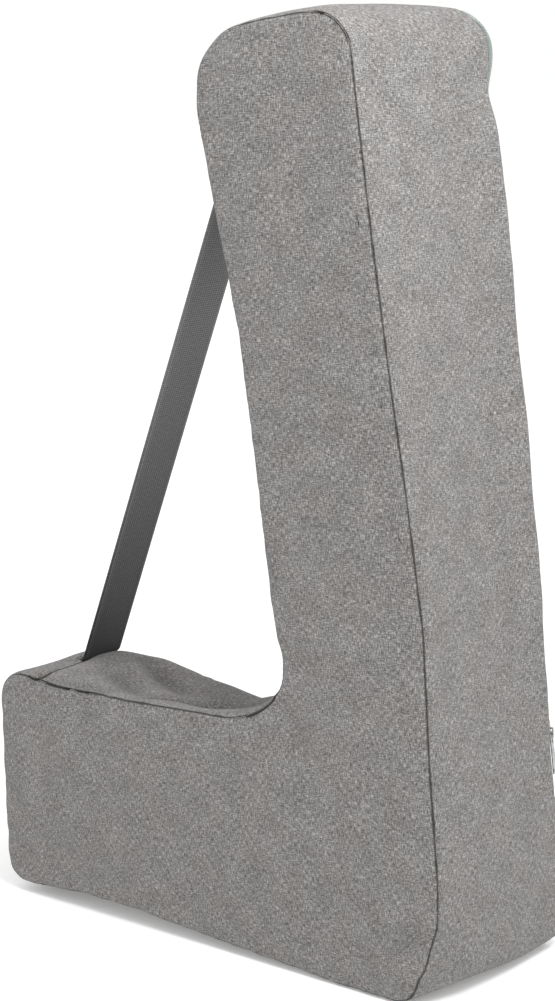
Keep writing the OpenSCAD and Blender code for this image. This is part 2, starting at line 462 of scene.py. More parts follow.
@dataclass(frozen=True)
class Crease:
    """A soft fold pressed into the cover along a short line."""

    start: tuple[float, float, float]
    end: tuple[float, float, float]
    depth: float
    width: float

    def press(self, p: Array) -> Array:
        """How deep the fold presses each point.

        Args:
            p: Rows of x, y and z at rest.

        Returns:
            Depths in metres.
        """
        a, b = np.array(self.start), np.array(self.end)
        d = b - a
        t = np.clip((p - a) @ d / (d @ d), 0, 1)
        away = np.linalg.norm(p - a - t[:, None] * d, axis=1)
        return self.depth * bell(away, self.width) * np.sin(math.pi * np.clip(0.12 + 0.76 * t, 0, 1))


@dataclass
class Outline:
    """The L's outline as evenly spaced stations, each with its inward normal."""

    size: Sizes = SIZE
    spacing: float = CELL
    graded: tuple[float, ...] = NEAR_SEAM
    points: Array = field(init=False)
    normals: Array = field(init=False)
    run: Array = field(init=False)
    at: dict[Mark, int] = field(init=False, default_factory=dict)
    ends: dict[Mark, int] = field(init=False, default_factory=dict)

    def __post_init__(self) -> None:
        """Lays the stations out."""
        corners = self.corners()
        n = len(corners)
        p = np.array([c[:2] for c in corners])
        heads = np.array([(p[(i + 1) % n] - p[i]) for i in range(n)])
        heads /= np.linalg.norm(heads, axis=1)[:, None]
        ins = np.stack([-heads[:, 1], heads[:, 0]], 1)
        pts: list[Array] = []
        nrm: list[Array] = []
        arcs = [self.arc(p[i], corners[i][2], heads[i - 1], heads[i], ins[i - 1], ins[i]) for i in range(n)]
        for i in range(n):
            self.at[Mark(i)] = len(pts)
            pts += arcs[i][0]
            nrm += arcs[i][1]
            self.ends[Mark(i)] = len(pts) - 1
            start, stop = arcs[i][0][-1], arcs[(i + 1) % n][0][0]
            length = float(np.linalg.norm(stop - start))
            for t in self.steps(length, corners[i][2] == 0, corners[(i + 1) % n][2] == 0):
                pts.append(start + heads[i] * t)
                nrm.append(ins[i])
        self.points = np.array(pts)
        self.normals = np.array(nrm)
        gaps = np.linalg.norm(np.roll(self.points, -1, 0) - self.points, axis=1)
        self.run = np.concatenate([[0.0], np.cumsum(gaps)])

    def corners(self) -> list[tuple[float, float, float]]:
        """Corner places and radii.

        Returns:
            For each corner, in the order of Mark, x, z and the radius.
        """
        s = self.size
        foot = s.pivot + (s.arm - s.pivot + s.depth * math.sin(s.lean)) / math.cos(s.lean)
        half = s.length / 2
        return [
            (half - 0.042, 0.0, 0.0),
            (half, 0.0, 0.038),
            (half, s.pivot, 0.12),
            (*s.leaned(0, s.height), s.top_back_radius),
            (*s.leaned(-s.depth, s.height), 0.026),
            (*s.leaned(-s.depth, s.height - s.strap_drop), 0.0),
            (*s.leaned(-s.depth, foot), 0.045),
            (-half + s.strap_setback, s.arm, 0.0),
            (-half, s.arm, 0.020),
            (-half, 0.0, 0.030),
            (-half + 0.034, 0.0, 0.0),
        ]

    def arc(
        self, at: Array, radius: float, head_in: Array, head_out: Array, in_in: Array, in_out: Array
    ) -> tuple[list[Array], list[Array]]:
        """Stations round one corner.

        Args:
            at: The sharp corner.
            radius: Its radius, 0 for a seam on a straight run.
            head_in: Heading of the run before it.
            head_out: Heading of the run after it.
            in_in: Inward normal before it.
            in_out: Inward normal after it.

        Returns:
            Points and inward normals.
        """
        if radius == 0:
            mean = in_in + in_out
            return [at], [mean / np.linalg.norm(mean)]
        cross = head_in[0] * head_out[1] - head_in[1] * head_out[0]
        side = 1.0 if cross > 0 else -1.0
        angle = math.acos(float(np.clip(head_in @ head_out, -1, 1)))
        start = at - head_in * radius * math.tan(angle / 2)
        centre = start + side * radius * in_in
        count = max(3, round(radius * angle / self.spacing * 1.3))
        pts, nrm = [], []
        for k in range(count + 1):
            a = side * angle * k / count
            c, s = math.cos(a), math.sin(a)
            d = start - centre
            pts.append(centre + np.array([d[0] * c - d[1] * s, d[0] * s + d[1] * c]))
            nrm.append(np.array([in_in[0] * c - in_in[1] * s, in_in[0] * s + in_in[1] * c]))
        return pts, nrm

    def steps(self, length: float, seam_before: bool, seam_after: bool) -> list[float]:
        """Distances of the stations on a straight run, closer together beside a seam.

        Args:
            length: The run's length.
            seam_before: Whether it starts at a seam.
            seam_after: Whether it ends at a seam.

        Returns:
            Distances from the run's start, without its ends.
        """
        lead = list(self.graded) if seam_before and length > 0.03 else []
        tail = [length - g for g in reversed(self.graded)] if seam_after and length > 0.03 else []
        low = lead[-1] if lead else 0.0
        high = tail[0] if tail else length
        count = max(1, round((high - low) / self.spacing))
        middle = [low + (high - low) * k / count for k in range(1, count)]
        return lead + middle + tail

    def zip_share(self) -> Array:
        """How far each station belongs to the zip's run.

        Returns:
            A share from 0 to 1 for each station.
        """
        s = self.size
        low = self.run[self.ends[Mark.BEND]] - 0.12 * math.tan(s.lean / 2) + (s.zip_low - s.pivot)
        high = self.run[self.ends[Mark.TOP_BACK]] + s.zip_top_run
        run = self.run[:-1]
        soft = 0.011
        return smooth((run - low + soft) / soft) * smooth((high + soft - run) / soft)


@dataclass
class CoverCloth:
    """The sewn cover as one closed mesh, puffed over its foam and then cut into its panels."""

    size: Sizes = SIZE
    outline: Outline = field(default_factory=Outline)
    loops: tuple[float, ...] = NEAR_SEAM
    tilt: float = 0.0055
    pressure: float = 4.0
    frames: int = 18
    cap: float = 0.012
    creases: tuple[Crease, ...] = ()
    obj: bpy.types.Object = field(init=False)
    verts: list[Array] = field(init=False)
    gaps: list[Array] = field(init=False)
    pins: list[Array] = field(init=False)
    faces: list[tuple[int, ...]] = field(init=False)
    panels: list[Panel] = field(init=False)
    flats: list[list[tuple[float, float]]] = field(init=False)
    hidden: Array = field(init=False)
    rest: Array = field(init=False)
    gap: Array = field(init=False)
    pin: Array = field(init=False)
    shape: tuple[int, int] = field(init=False)
    final: Array = field(init=False)

    def rows(self) -> Array:
        """Places of the rows of vertices across the width.

        Returns:
            The places, from the near seam to the far one.
        """
        h = self.size.half
        centre = self.size.zip_centre[1]
        near = [-h] + [-h + d for d in NEAR_SEAM]
        far = [h - self.size.zip_band - 0.003, h - self.size.zip_band]
        count = round((far[0] - near[-1]) / CELL)
        middle = [near[-1] + (far[0] - near[-1]) * k / count for k in range(1, count)]
        band = [centre - 0.0060, centre - SLIT, centre + SLIT, centre + 0.0060, h]
        return np.array(near + middle + far + band)

    def build(self) -> None:
        """Makes the closed mesh with its panels, seam distances and flat pattern."""
        self.verts, self.gaps, self.pins = [], [], []
        self.faces, self.panels, self.flats = [], [], []
        o = self.outline
        n = len(o.points)
        self.hidden = np.zeros(n)
        # Extra seam distance on the upright's front, from TOP_FRONT to INNER: a shallower groove and lighter
        # painted seam shade there.
        self.hidden[o.at[Mark.TOP_FRONT] : o.at[Mark.INNER]] = 0.0012
        y = self.rows()
        self.shape = (len(y), n)
        self.gusset(y)
        inner, cells = self.side_cells()
        for side, panel in ((-1, Panel.SIDE_NEAR), (1, Panel.SIDE_FAR)):
            self.side(side, panel, inner, cells)
        self.rest = np.concatenate(self.verts)
        self.gap = np.concatenate(self.gaps)
        self.pin = np.concatenate(self.pins)
        self.to_mesh()

    def gusset(self, y: Array) -> None:
        """Lays the band of cloth that runs round the L, from one side panel to the other.

        Args:
            y: Places of the rows of vertices across the width.
        """
        s, o = self.size, self.outline
        m, n = self.shape
        share = o.zip_share()
        edge = s.half - s.zip_band
        tilt = self.tilt * np.clip((y - edge) / (s.half - edge), 0, 1)
        run, total = o.run[:-1], o.run[-1]
        marks = (Mark.HEEL_SEAM, Mark.TOP_SEAM, Mark.ARM_SEAM, Mark.TOE_SEAM)
        away = [abs(run - o.run[o.at[mark]]) for mark in marks]
        cross = np.min([np.minimum(d, total - d) for d in away], axis=0) + 0.0009
        for j in range(m):
            place = o.points + o.normals * (tilt[j] * share)[:, None]
            self.verts.append(np.stack([place[:, 0], np.full(n, y[j]), place[:, 1]], 1))
            to_far = np.where(share > 0.5, 1.0, s.half - y[j])
            self.gaps.append(np.minimum.reduce([y[j] + s.half + self.hidden, to_far, cross]))
            self.pins.append(np.where((share > 0.9) & (y[j] > edge - 1e-6), 1.0, 0.0))
        zipped = (share > 0.98) & (np.roll(share, -1) > 0.98)
        for j in range(m - 1):
            for i in range(n):
                k = (i + 1) % n
                self.faces.append((j * n + i, (j + 1) * n + i, (j + 1) * n + k, j * n + k))
                a, b = o.run[i], o.run[i + 1]
                self.flats.append([(y[j], a), (y[j + 1], a), (y[j + 1], b), (y[j], b)])
                self.panels.append(self.panel_at(i, y[j], bool(zipped[i])))

    def panel_at(self, station: int, y: float, zipped: bool) -> Panel:
        """Panel that a cell of the gusset belongs to.

        Args:
            station: The outline's station at which the cell starts.
            y: Where it starts across the width.
            zipped: Whether the zip runs past it.

        Returns:
            The panel.
        """
        at, centre = self.outline.at, self.size.zip_centre[1]
        if zipped and y > centre - SLIT - 1e-6:
            return Panel.ZIP_BAND if y < centre else Panel.SIDE_FAR
        if station < at[Mark.TOP_SEAM]:
            return Panel.BACK
        if station < at[Mark.ARM_SEAM]:
            return Panel.FRONT
        if station < at[Mark.TOE_SEAM]:
            return Panel.END
        return Panel.BASE

    def side(self, side: int, panel: Panel, inner: Array, cells: list[tuple[int, ...]]) -> None:
        """Lays one side panel: loops beside its seam, and a lattice inside them.

        Args:
            side: -1 for the near side and 1 for the far one.
            panel: The panel.
            inner: The lattice's own points.
            cells: The lattice's cells.
        """
        s, o = self.size, self.outline
        m, n = self.shape
        share = o.zip_share()
        base = sum(len(v) for v in self.verts)
        rings = [np.arange(n) + (0 if side < 0 else (m - 1) * n)]
        shift = np.zeros(n) if side < 0 else self.tilt * share
        for k, d in enumerate(self.loops):
            place = o.points + o.normals * (d + shift * (1 - d / self.loops[-1]))[:, None]
            self.verts.append(np.stack([place[:, 0], np.full(n, side * s.half), place[:, 1]], 1))
            self.gaps.append(d + (share if side > 0 else self.hidden))
            self.pins.append(np.zeros(n))
            rings.append(np.arange(n) + base + k * n)
        self.verts.append(np.stack([inner[:, 0], np.full(len(inner), side * s.half), inner[:, 1]], 1))
        self.gaps.append(np.linalg.norm(inner[:, None, :] - o.points[None, :, :], axis=2).min(1))
        self.pins.append(np.zeros(len(inner)))
        quads = [
            (rings[a][i], rings[a][(i + 1) % n], rings[a + 1][(i + 1) % n], rings[a + 1][i])
            for a in range(len(self.loops))
            for i in range(n)
        ]
        last, offset = rings[-1], base + len(self.loops) * n
        quads += [tuple(last[v] if v < n else offset + v - n for v in c) for c in cells]
        every = np.concatenate(self.verts)
        for quad in quads:
            quad = tuple(int(v) for v in quad)
            self.faces.append(quad if side < 0 else quad[::-1])
            self.panels.append(panel)
            self.flats.append([(float(every[v][0]), float(every[v][2])) for v in self.faces[-1]])

    def to_mesh(self) -> None:
        """Makes the mesh, with each panel as a material, the pattern and the attributes."""
        mesh = bpy.data.meshes.new("cover")
        mesh.from_pydata([tuple(v) for v in self.rest], [], self.faces)
        for panel in Panel:
            mesh.materials.append(bpy.data.materials.new(f"panel_{panel.name.lower()}"))
        mesh.polygons.foreach_set("material_index", np.array(self.panels, np.int32))
        layer = mesh.uv_layers.new(name="pattern")
        layer.data.foreach_set("uv", np.array([c for flat in self.flats for c in flat], np.float32).ravel())
        gap = mesh.attributes.new("seam_gap", "FLOAT", "POINT").data
        gap.foreach_set("value", self.gap.astype(np.float32))
        lain = mesh.attributes.new("rest_place", "FLOAT_VECTOR", "POINT").data
        lain.foreach_set("vector", self.rest.astype(np.float32).ravel())
        self.obj = bpy.data.objects.new("cover", mesh)
        bpy.context.collection.objects.link(self.obj)

    def side_cells(self) -> tuple[Array, list[tuple[int, ...]]]:
        """Lattice that fills a side panel inside its last loop.

        Returns:
            The lattice's own points, and cells whose first indices are the last loop's.
        """
        o = self.outline
        loop = o.points + o.normals * self.loops[-1]
        lo, hi = loop.min(0), loop.max(0)
        xs = np.arange(lo[0] + CELL / 2, hi[0], CELL)
        zs = np.arange(lo[1] + CELL / 2, hi[1], CELL)
        grid = np.array([(x, z) for x in xs for z in zs])
        inside = within(grid, loop)
        near = np.linalg.norm(grid[:, None, :] - loop[None, :, :], axis=2).min(1)
        grid = grid[inside & (near > CELL * 0.8)]
        n = len(loop)
        coords = [Vector((float(x), float(z))) for x, z in np.concatenate([loop, grid])]
        edges = [(i, (i + 1) % n) for i in range(n)]
        out = delaunay_2d_cdt(coords, edges, [], 1, 1e-7, True)
        assert len(out[0]) == len(coords)
        bm = bmesh.new()
        for v in out[0]:
            bm.verts.new((v[0], v[1], 0))
        bm.verts.ensure_lookup_table()
        order = [ids[0] for ids in out[3]]
        spots = np.array([np.mean([tuple(out[0][i]) for i in tri], axis=0) for tri in out[2]])
        for tri, kept in zip(out[2], within(spots, loop)):
            if kept:
                bm.faces.new([bm.verts[i] for i in tri])
        bmesh.ops.join_triangles(
            bm,
            faces=bm.faces[:],
            angle_face_threshold=math.radians(180),
            angle_shape_threshold=math.radians(35),
        )
        cells = []
        for f in bm.faces:
            corners = [order[v.index] for v in f.verts]
            if f.normal.z < 0:
                corners.reverse()
            cells.append(tuple(corners))
        bm.free()
        return grid, cells

    def puff(self) -> Array:
        """Inflates the closed cover as cloth.

        Returns:
            Where every vertex has moved to, with its movement held within the cap.
        """
        s = self.size
        pin = self.pin.copy()
        rest = self.rest
        pin[rest[:, 2] < 0.0015] = 1.0
        seam = abs(rest[:, 1]) > s.half - 1e-6
        pin[seam & (self.gap < 0.0013)] = 1.0
        pin[~seam & (self.gap < 0.001)] = np.maximum(pin[~seam & (self.gap < 0.001)], 0.4)
        group = self.obj.vertex_groups.new(name="held")
        for i, w in enumerate(pin):
            group.add([i], float(max(w, 0.02)), "REPLACE")
        cloth = self.obj.modifiers.new("puff", "CLOTH")
        setup = cloth.settings
        setup.quality = 5
        setup.mass = 0.15
        setup.use_pressure = True
        setup.uniform_pressure_force = self.pressure
        setup.tension_stiffness = 25
        setup.compression_stiffness = 20
        setup.shear_stiffness = 8
        setup.bending_stiffness = 1.5
        setup.effector_weights.gravity = 0
        setup.vertex_group_mass = "held"
        setup.pin_stiffness = 1.0
        cloth.collision_settings.use_collision = False
        cloth.point_cache.frame_start = 1
        cloth.point_cache.frame_end = self.frames
        scene = bpy.context.scene
        for f in range(1, self.frames + 1):
            scene.frame_set(f)
        graph = bpy.context.evaluated_depsgraph_get()
        moved = np.zeros(len(rest) * 3, np.float32)
        self.obj.evaluated_get(graph).data.vertices.foreach_get("co", moved)
        moved = moved.reshape(-1, 3).astype(float)
        self.obj.modifiers.remove(cloth)
        self.obj.vertex_groups.remove(group)
        scene.frame_set(1)
        shift = moved - rest
        far = np.linalg.norm(shift, axis=1)
        log.info("cloth moved %.1f mm at most, %.1f mm on average", far.max() * 1e3, far.mean() * 1e3)
        shift *= np.minimum(1, self.cap / np.maximum(far, 1e-9))[:, None]
        return rest + shift

    def settle(self, moved: Array) -> Array:
        """Shapes the puffed cover: its lie on the foam, and the folds beside the zip.

        Args:
            moved: The puffed cover's points.

        Returns:
            The settled points.
        """
        points = np.where(self.pin[:, None] > 0.5, self.rest, moved) + Drape(self.size).shift(self.rest)
        m, n = self.shape
        grid = self.rest[: m * n]
        centre = self.size.zip_centre[1]
        v = (grid[:, 1] - centre) / math.cos(self.size.zip_turn)
        up = self.size.straight(grid)[1]
        knots = [-0.050, -0.024, -0.014, -0.0078, -0.0062, -SLIT - 0.0002, SLIT, 0.0062, 0.008]
        plump = np.interp(v, knots, [0, 0.0036, 0.0070, 0.0088, 0.0086, 0.0060, 0.0006, 0.0006, 0.0])
        flat = np.interp(v, knots, [0, 0.0004, 0.0006, 0.0008, 0.0008, 0.0004, 0.0004, 0.0008, 0.0004])
        high = smooth((up - 0.522) / 0.055)
        plump *= 1 - 0.45 * (1 - smooth((up - 0.13) / 0.1))
        rise = (plump * (1 - high) + flat * high) * np.tile(self.outline.zip_share(), m)
        out = np.tile(self.outline.normals, (m, 1))
        c, t = math.cos(self.size.zip_turn), math.sin(self.size.zip_turn)
        points[: m * n] += np.stack([-out[:, 0] * c, np.full(m * n, t), -out[:, 1] * c], 1) * rise[:, None]
        return points

    def smooth_into(self, points: Array) -> None:
        """Puts the points back on the mesh, refines it and presses the seams in.

        Args:
            points: The settled points.
        """
        self.obj.data.vertices.foreach_set("co", points.astype(np.float32).ravel())
        self.obj.data.update()
        only(self.obj)
        refine = self.obj.modifiers.new("refine", "SUBSURF")
        refine.levels = refine.render_levels = 1
        refine.uv_smooth = "NONE"
        bpy.ops.object.modifier_apply(modifier=refine.name)
        mesh = self.obj.data
        count = len(mesh.vertices)
        co = np.zeros(count * 3, np.float32)
        no = np.zeros(count * 3, np.float32)
        gap = np.zeros(count, np.float32)
        mesh.vertices.foreach_get("co", co)
        mesh.vertex_normals.foreach_get("vector", no)
        mesh.attributes["seam_gap"].data.foreach_get("value", gap)
        co, no = co.reshape(-1, 3), no.reshape(-1, 3)
        lain = np.zeros(count * 3, np.float32)
        mesh.attributes["rest_place"].data.foreach_get("vector", lain)
        lain = lain.reshape(-1, 3)
        wave = np.array([noise.noise(Vector(c) * 110) for c in lain])
        soft = np.array([noise.noise(Vector(c) * 17) + 0.35 * noise.noise(Vector(c) * 48) for c in lain])
        depth = 0.0017 * (1 + 0.25 * wave) * np.exp(-((gap / 0.0024) ** 1.4))
        depth += 0.0004 * wave * np.exp(-gap / 0.009) - 0.0014 * soft * smooth(gap / 0.03)
        folds = sum(crease.press(lain) for crease in self.creases)
        # The crease depths are kept as the "fold" attribute, which the cover's material reads to paint shade
        # into the creases.
        mesh.attributes.new("fold", "FLOAT", "POINT").data.foreach_set("value", folds.astype(np.float32))
        co -= no * (depth + folds)[:, None]
        mesh.vertices.foreach_set("co", co.astype(np.float32).ravel())
        mesh.update()
        self.final = co[: len(points)].astype(float)

    def cut(self) -> dict[Panel, bpy.types.Object]:
        """Cuts the cover into its panels and gives each the cloth's thickness.

        Returns:
            The panels, without the zip's band.
        """
        only(self.obj)
        bpy.ops.object.mode_set(mode="EDIT")
        bpy.ops.mesh.select_all(action="SELECT")
        bpy.ops.mesh.separate(type="MATERIAL")
        bpy.ops.object.mode_set(mode="OBJECT")
        found: dict[Panel, bpy.types.Object] = {}
        for o in list(bpy.context.selected_objects):
            slot = o.data.materials[o.data.polygons[0].material_index].name
            panel = Panel[slot.removeprefix("panel_").upper()]
            if panel is Panel.ZIP_BAND:
                bpy.data.objects.remove(o)
                continue
            o.name = f"cover_{panel.name.lower()}"
            only(o)
            wall = o.modifiers.new("cloth", "SOLIDIFY")
            wall.thickness = CLOTH
            wall.offset = -1
            bpy.ops.object.modifier_apply(modifier=wall.name)
            bpy.ops.object.shade_smooth()
            found[panel] = o
        return found


def grid_piece(name: str, points: Array, flat: Array, thickness: float) -> bpy.types.Object:
    """Makes a closed band from a grid of points, with a wall on its inner side.

    Args:
        name: The piece's name.
        points: Rows, columns and x, y, z of the outer surface.
        flat: Rows, columns and the two flat pattern coordinates.
        thickness: The band's thickness.

    Returns:
        The piece.
    """
    m, n = points.shape[:2]
    starts = [i * n + j for i in range(m - 1) for j in range(n - 1)]
    cells = [(a, a + 1, a + n + 1, a + n) for a in starts]
    mesh = bpy.data.meshes.new(name)
    mesh.from_pydata([tuple(v) for v in points.reshape(-1, 3)], [], cells)
    layer = mesh.uv_layers.new(name="pattern")
    uv = flat.reshape(-1, 2)
    layer.data.foreach_set("uv", np.array([uv[v] for c in cells for v in c], np.float32).ravel())
    obj = bpy.data.objects.new(name, mesh)
    bpy.context.collection.objects.link(obj)
    only(obj)
    wall = obj.modifiers.new("wall", "SOLIDIFY")
    wall.thickness = thickness
    wall.offset = -1
    bpy.ops.object.modifier_apply(modifier=wall.name)
    bpy.ops.object.shade_smooth_by_angle(angle=math.radians(50))
    return obj


def stamped(name: str, unit: bpy.types.Object, places: list[Array]) -> bpy.types.Object:
    """Repeats a small shape many times in one piece.

    Args:
        name: The piece's name.
        unit: The shape, which is removed afterwards.
        places: For each repeat, the places of all the shape's vertices.

    Returns:
        The piece.
    """
    faces = [tuple(f.vertices) for f in unit.data.polygons]
    count = len(unit.data.vertices)
    mesh = bpy.data.meshes.new(name)
    every = [tuple(v + k * count for v in f) for k in range(len(places)) for f in faces]
    mesh.from_pydata([tuple(v) for v in np.concatenate(places)], [], every)
    obj = bpy.data.objects.new(name, mesh)
    bpy.context.collection.objects.link(obj)
    bpy.data.objects.remove(unit)
    only(obj)
    bpy.ops.object.shade_smooth()
    return obj


def corners_of(obj: bpy.types.Object) -> Array:
    """Places of an object's vertices.

    Args:
        obj: The object.

    Returns:
        Rows of x, y and z.
    """
    return np.array([tuple(obj.matrix_world @ v.co) for v in obj.data.vertices])


def pill(length: float, diameter: float) -> bpy.types.Object:
    """One stitch: a small rounded rod along x.

    Args:
        length: The rod's length.
        diameter: Its diameter.

    Returns:
        The rod.
    """
    only(None)
    bpy.ops.mesh.primitive_uv_sphere_add(segments=6, ring_count=5, radius=0.5, rotation=(0, math.pi / 2, 0))
    obj = bpy.context.active_object
    obj.scale = (diameter, diameter, length)
    only(obj)
    bpy.ops.object.transform_apply(location=True, rotation=True, scale=True)
    return obj


@dataclass
class Stitching:
    """Rows of stitches that follow the settled cover."""

    pitch: float = 0.0042
    thread: float = 0.0006

    def seam(self, name: str, path: Array, closed: bool = False) -> bpy.types.Object:
        """Stitches along a seam.

        Args:
            name: The piece's name.
            path: Rows of x, y and z along the seam.
            closed: Whether the seam runs back to its start.

        Returns:
            The piece.
        """
        if closed:
            path = np.concatenate([path, path[:1]])
        run = np.concatenate([[0], np.cumsum(np.linalg.norm(np.diff(path, axis=0), axis=1))])
        count = int(run[-1] / self.pitch)
        unit = pill(self.pitch * 0.82, self.thread)
        shape = corners_of(unit)
        places = []
        for k in range(count):
            mid = (k + 0.5) * run[-1] / count
            ends = [mid - 0.0015, mid + 0.0015]
            a, b = np.stack([np.interp(ends, run, path[:, i]) for i in range(3)], 1)
            places.append(self.along(shape, (a + b) / 2, b - a))
        return stamped(name, unit, places)

    def bartack(
        self, name: str, middle: Array, heading: Array, panel: bpy.types.Object
    ) -> bpy.types.Object:
        """Dense stitches that hold one end of the strap.

        Args:
            name: The piece's name.
            middle: The row's middle, close to the cover.
            heading: Direction across the row, in the panel.
            panel: The panel that it is sewn through.

        Returns:
            The piece.
        """
        unit = pill(0.0028, 0.0007)
        shape = corners_of(unit)
        places = []
        for k in range(-9, 10):
            for row in (-1, 1):
                at = middle + np.array([0, k * 0.002, 0]) + heading * row * 0.0016
                _, spot, normal, _ = panel.closest_point_on_mesh(Vector(at))
                slanted = heading + np.array([0, 0.35 * row, 0])
                places.append(self.along(shape, np.array(spot + normal * 0.0002), slanted))
        return stamped(name, unit, places)

    @staticmethod
    def along(shape: Array, middle: Array, heading: Array) -> Array:
        """Moves a stitch to its middle and turns it from x to its heading.

        Args:
            shape: The stitch's vertices.
            middle: Where it goes.
            heading: Where it points.

        Returns:
            The vertices' new places.
        """
        x = heading / np.linalg.norm(heading)
        y = np.cross([0.3, 0.9, 0.1], x)
        y /= np.linalg.norm(y)
        return middle + shape[:, :1] * x + shape[:, 1:2] * y + shape[:, 2:] * np.cross(x, y)


@dataclass
class Foam:
    """The two glued foam blocks inside the cover."""

    size: Sizes = SIZE
    inset: float = 0.0068
    arm_slack: float = 0.007

    def block(self, name: str, upright: bool) -> bpy.types.Object:
        """Makes one block.

        Args:
            name: The piece's name.
            upright: Whether it is the upright's block, or the arm's.

        Returns:
            The piece.
        """
        s = self.size
        o = Outline(s, spacing=0.012, graded=())
        ring = o.points + o.normals * self.inset
        side = s.half - self.inset
        bm = bmesh.new()
        verts = [bm.verts.new((x, -side, z)) for x, z in ring]
        bm.faces.new(verts)
        grown = bmesh.ops.extrude_face_region(bm, geom=bm.faces[:])
        far = [v for v in grown["geom"] if isinstance(v, bmesh.types.BMVert)]
        bmesh.ops.translate(bm, vec=(0, 2 * side, 0), verts=far)
        x, z = s.leaned(-s.depth + 0.002 - (0 if upright else 0.0006), s.pivot)
        normal = Vector((math.cos(s.lean), 0, math.sin(s.lean)))
        cut = bmesh.ops.bisect_plane(
            bm,
            geom=bm.verts[:] + bm.edges[:] + bm.faces[:],
            plane_co=(x, 0, z),
            plane_no=normal,
            clear_inner=upright,
            clear_outer=not upright,
        )
        bmesh.ops.holes_fill(bm, edges=[e for e in cut["geom_cut"] if isinstance(e, bmesh.types.BMEdge)])
        bmesh.ops.recalc_face_normals(bm, faces=bm.faces[:])
        mesh = bpy.data.meshes.new(name)
        bm.to_mesh(mesh)
        bm.free()
        obj = bpy.data.objects.new(name, mesh)
        bpy.context.collection.objects.link(obj)
        only(obj)
        round_off = obj.modifiers.new("round", "BEVEL")
        round_off.width = 0.004
        round_off.segments = 3
        round_off.limit_method = "ANGLE"
        round_off.angle_limit = math.radians(60)
        bpy.ops.object.modifier_apply(modifier=round_off.name)
        points = corners_of(obj)
        low = 0.0 if upright else self.arm_slack * smooth((points[:, 2] - 0.10) / 0.04)
        points += Drape(s).shift(points)
        points[:, 2] -= low
        mesh.vertices.foreach_set("co", points.astype(np.float32).ravel())
        mesh.update()
        return obj


@dataclass
class Strap:
    """Taut webbing from the arm's tip to the top of the upright."""

    size: Sizes = SIZE
    tab: float = 0.015

    def build(self) -> bpy.types.Object:
        """Makes the webbing with its ribbed edges.

        Returns:
            The piece.
        """
        s, o, d = self.size, Outline(self.size), Drape(self.size)
        low, high = o.at[Mark.ARM_SEAM], o.at[Mark.TOP_SEAM]
        ends = np.array([(*(o.points[i] + o.normals[i] * 0.0022),) for i in (low, high)])
        ends = np.stack([ends[:, 0], [0, 0], ends[:, 1]], 1)
        ends += d.shift(ends)
        up = np.array([math.sin(-s.lean), 0, math.cos(s.lean)])
        knots = np.array([ends[0] - [self.tab, 0, 0.001], ends[0], ends[1], ends[1] + up * self.tab])
        path = self.rounded(knots)
        run = np.concatenate([[0], np.cumsum(np.linalg.norm(np.diff(path, axis=0), axis=1))])
        heads = np.gradient(path, axis=0)
        heads /= np.linalg.norm(heads, axis=1)[:, None]
        outward = np.stack([-heads[:, 2], 0 * heads[:, 0], heads[:, 0]], 1)
        half = s.strap_width / 2
        outer = np.array([1, 0.985, 0.93, 0.90, 0.87, 0.6, 0.3])
        ridge = np.array([-0.25, 0.05, 0.2, 0, 0.12, 0, 0]) * 0.001
        t = np.concatenate([-outer, [0], outer[::-1]])
        rib = np.concatenate([ridge, [0], ridge[::-1]])
        points = path[:, None, :] + outward[:, None, :] * (rib + 0.0007)[None, :, None]
        points = points + np.array([0, 1, 0]) * (t * half)[None, :, None]
        flat = np.stack(np.broadcast_arrays(t[None, :] * half, run[:, None]), 2)
        return grid_piece("strap_webbing", points[:, ::-1], flat[:, ::-1], s.strap_thickness)

    @staticmethod
    def rounded(knots: Array) -> Array:
        """The path through the knots, with its bends eased.

        Args:
            knots: The path's start, its two bends and its end.

        Returns:
            Rows of x, y and z.
        """
        out = [knots[0]]
        for before, at, after in zip(knots[:-2], knots[1:-1], knots[2:]):
            a = at + (before - at) / np.linalg.norm(before - at) * 0.004
            b = at + (after - at) / np.linalg.norm(after - at) * 0.004
            out += [(1 - t) ** 2 * a + 2 * t * (1 - t) * at + t * t * b for t in np.linspace(0, 1, 7)]
            if np.allclose(after, knots[-2]):
                far = after + (at - after) / np.linalg.norm(at - after) * 0.006
                out += [b + (far - b) * t for t in np.linspace(0, 1, 50)[1:]]
        out.append(knots[-1])
        return np.array(out)


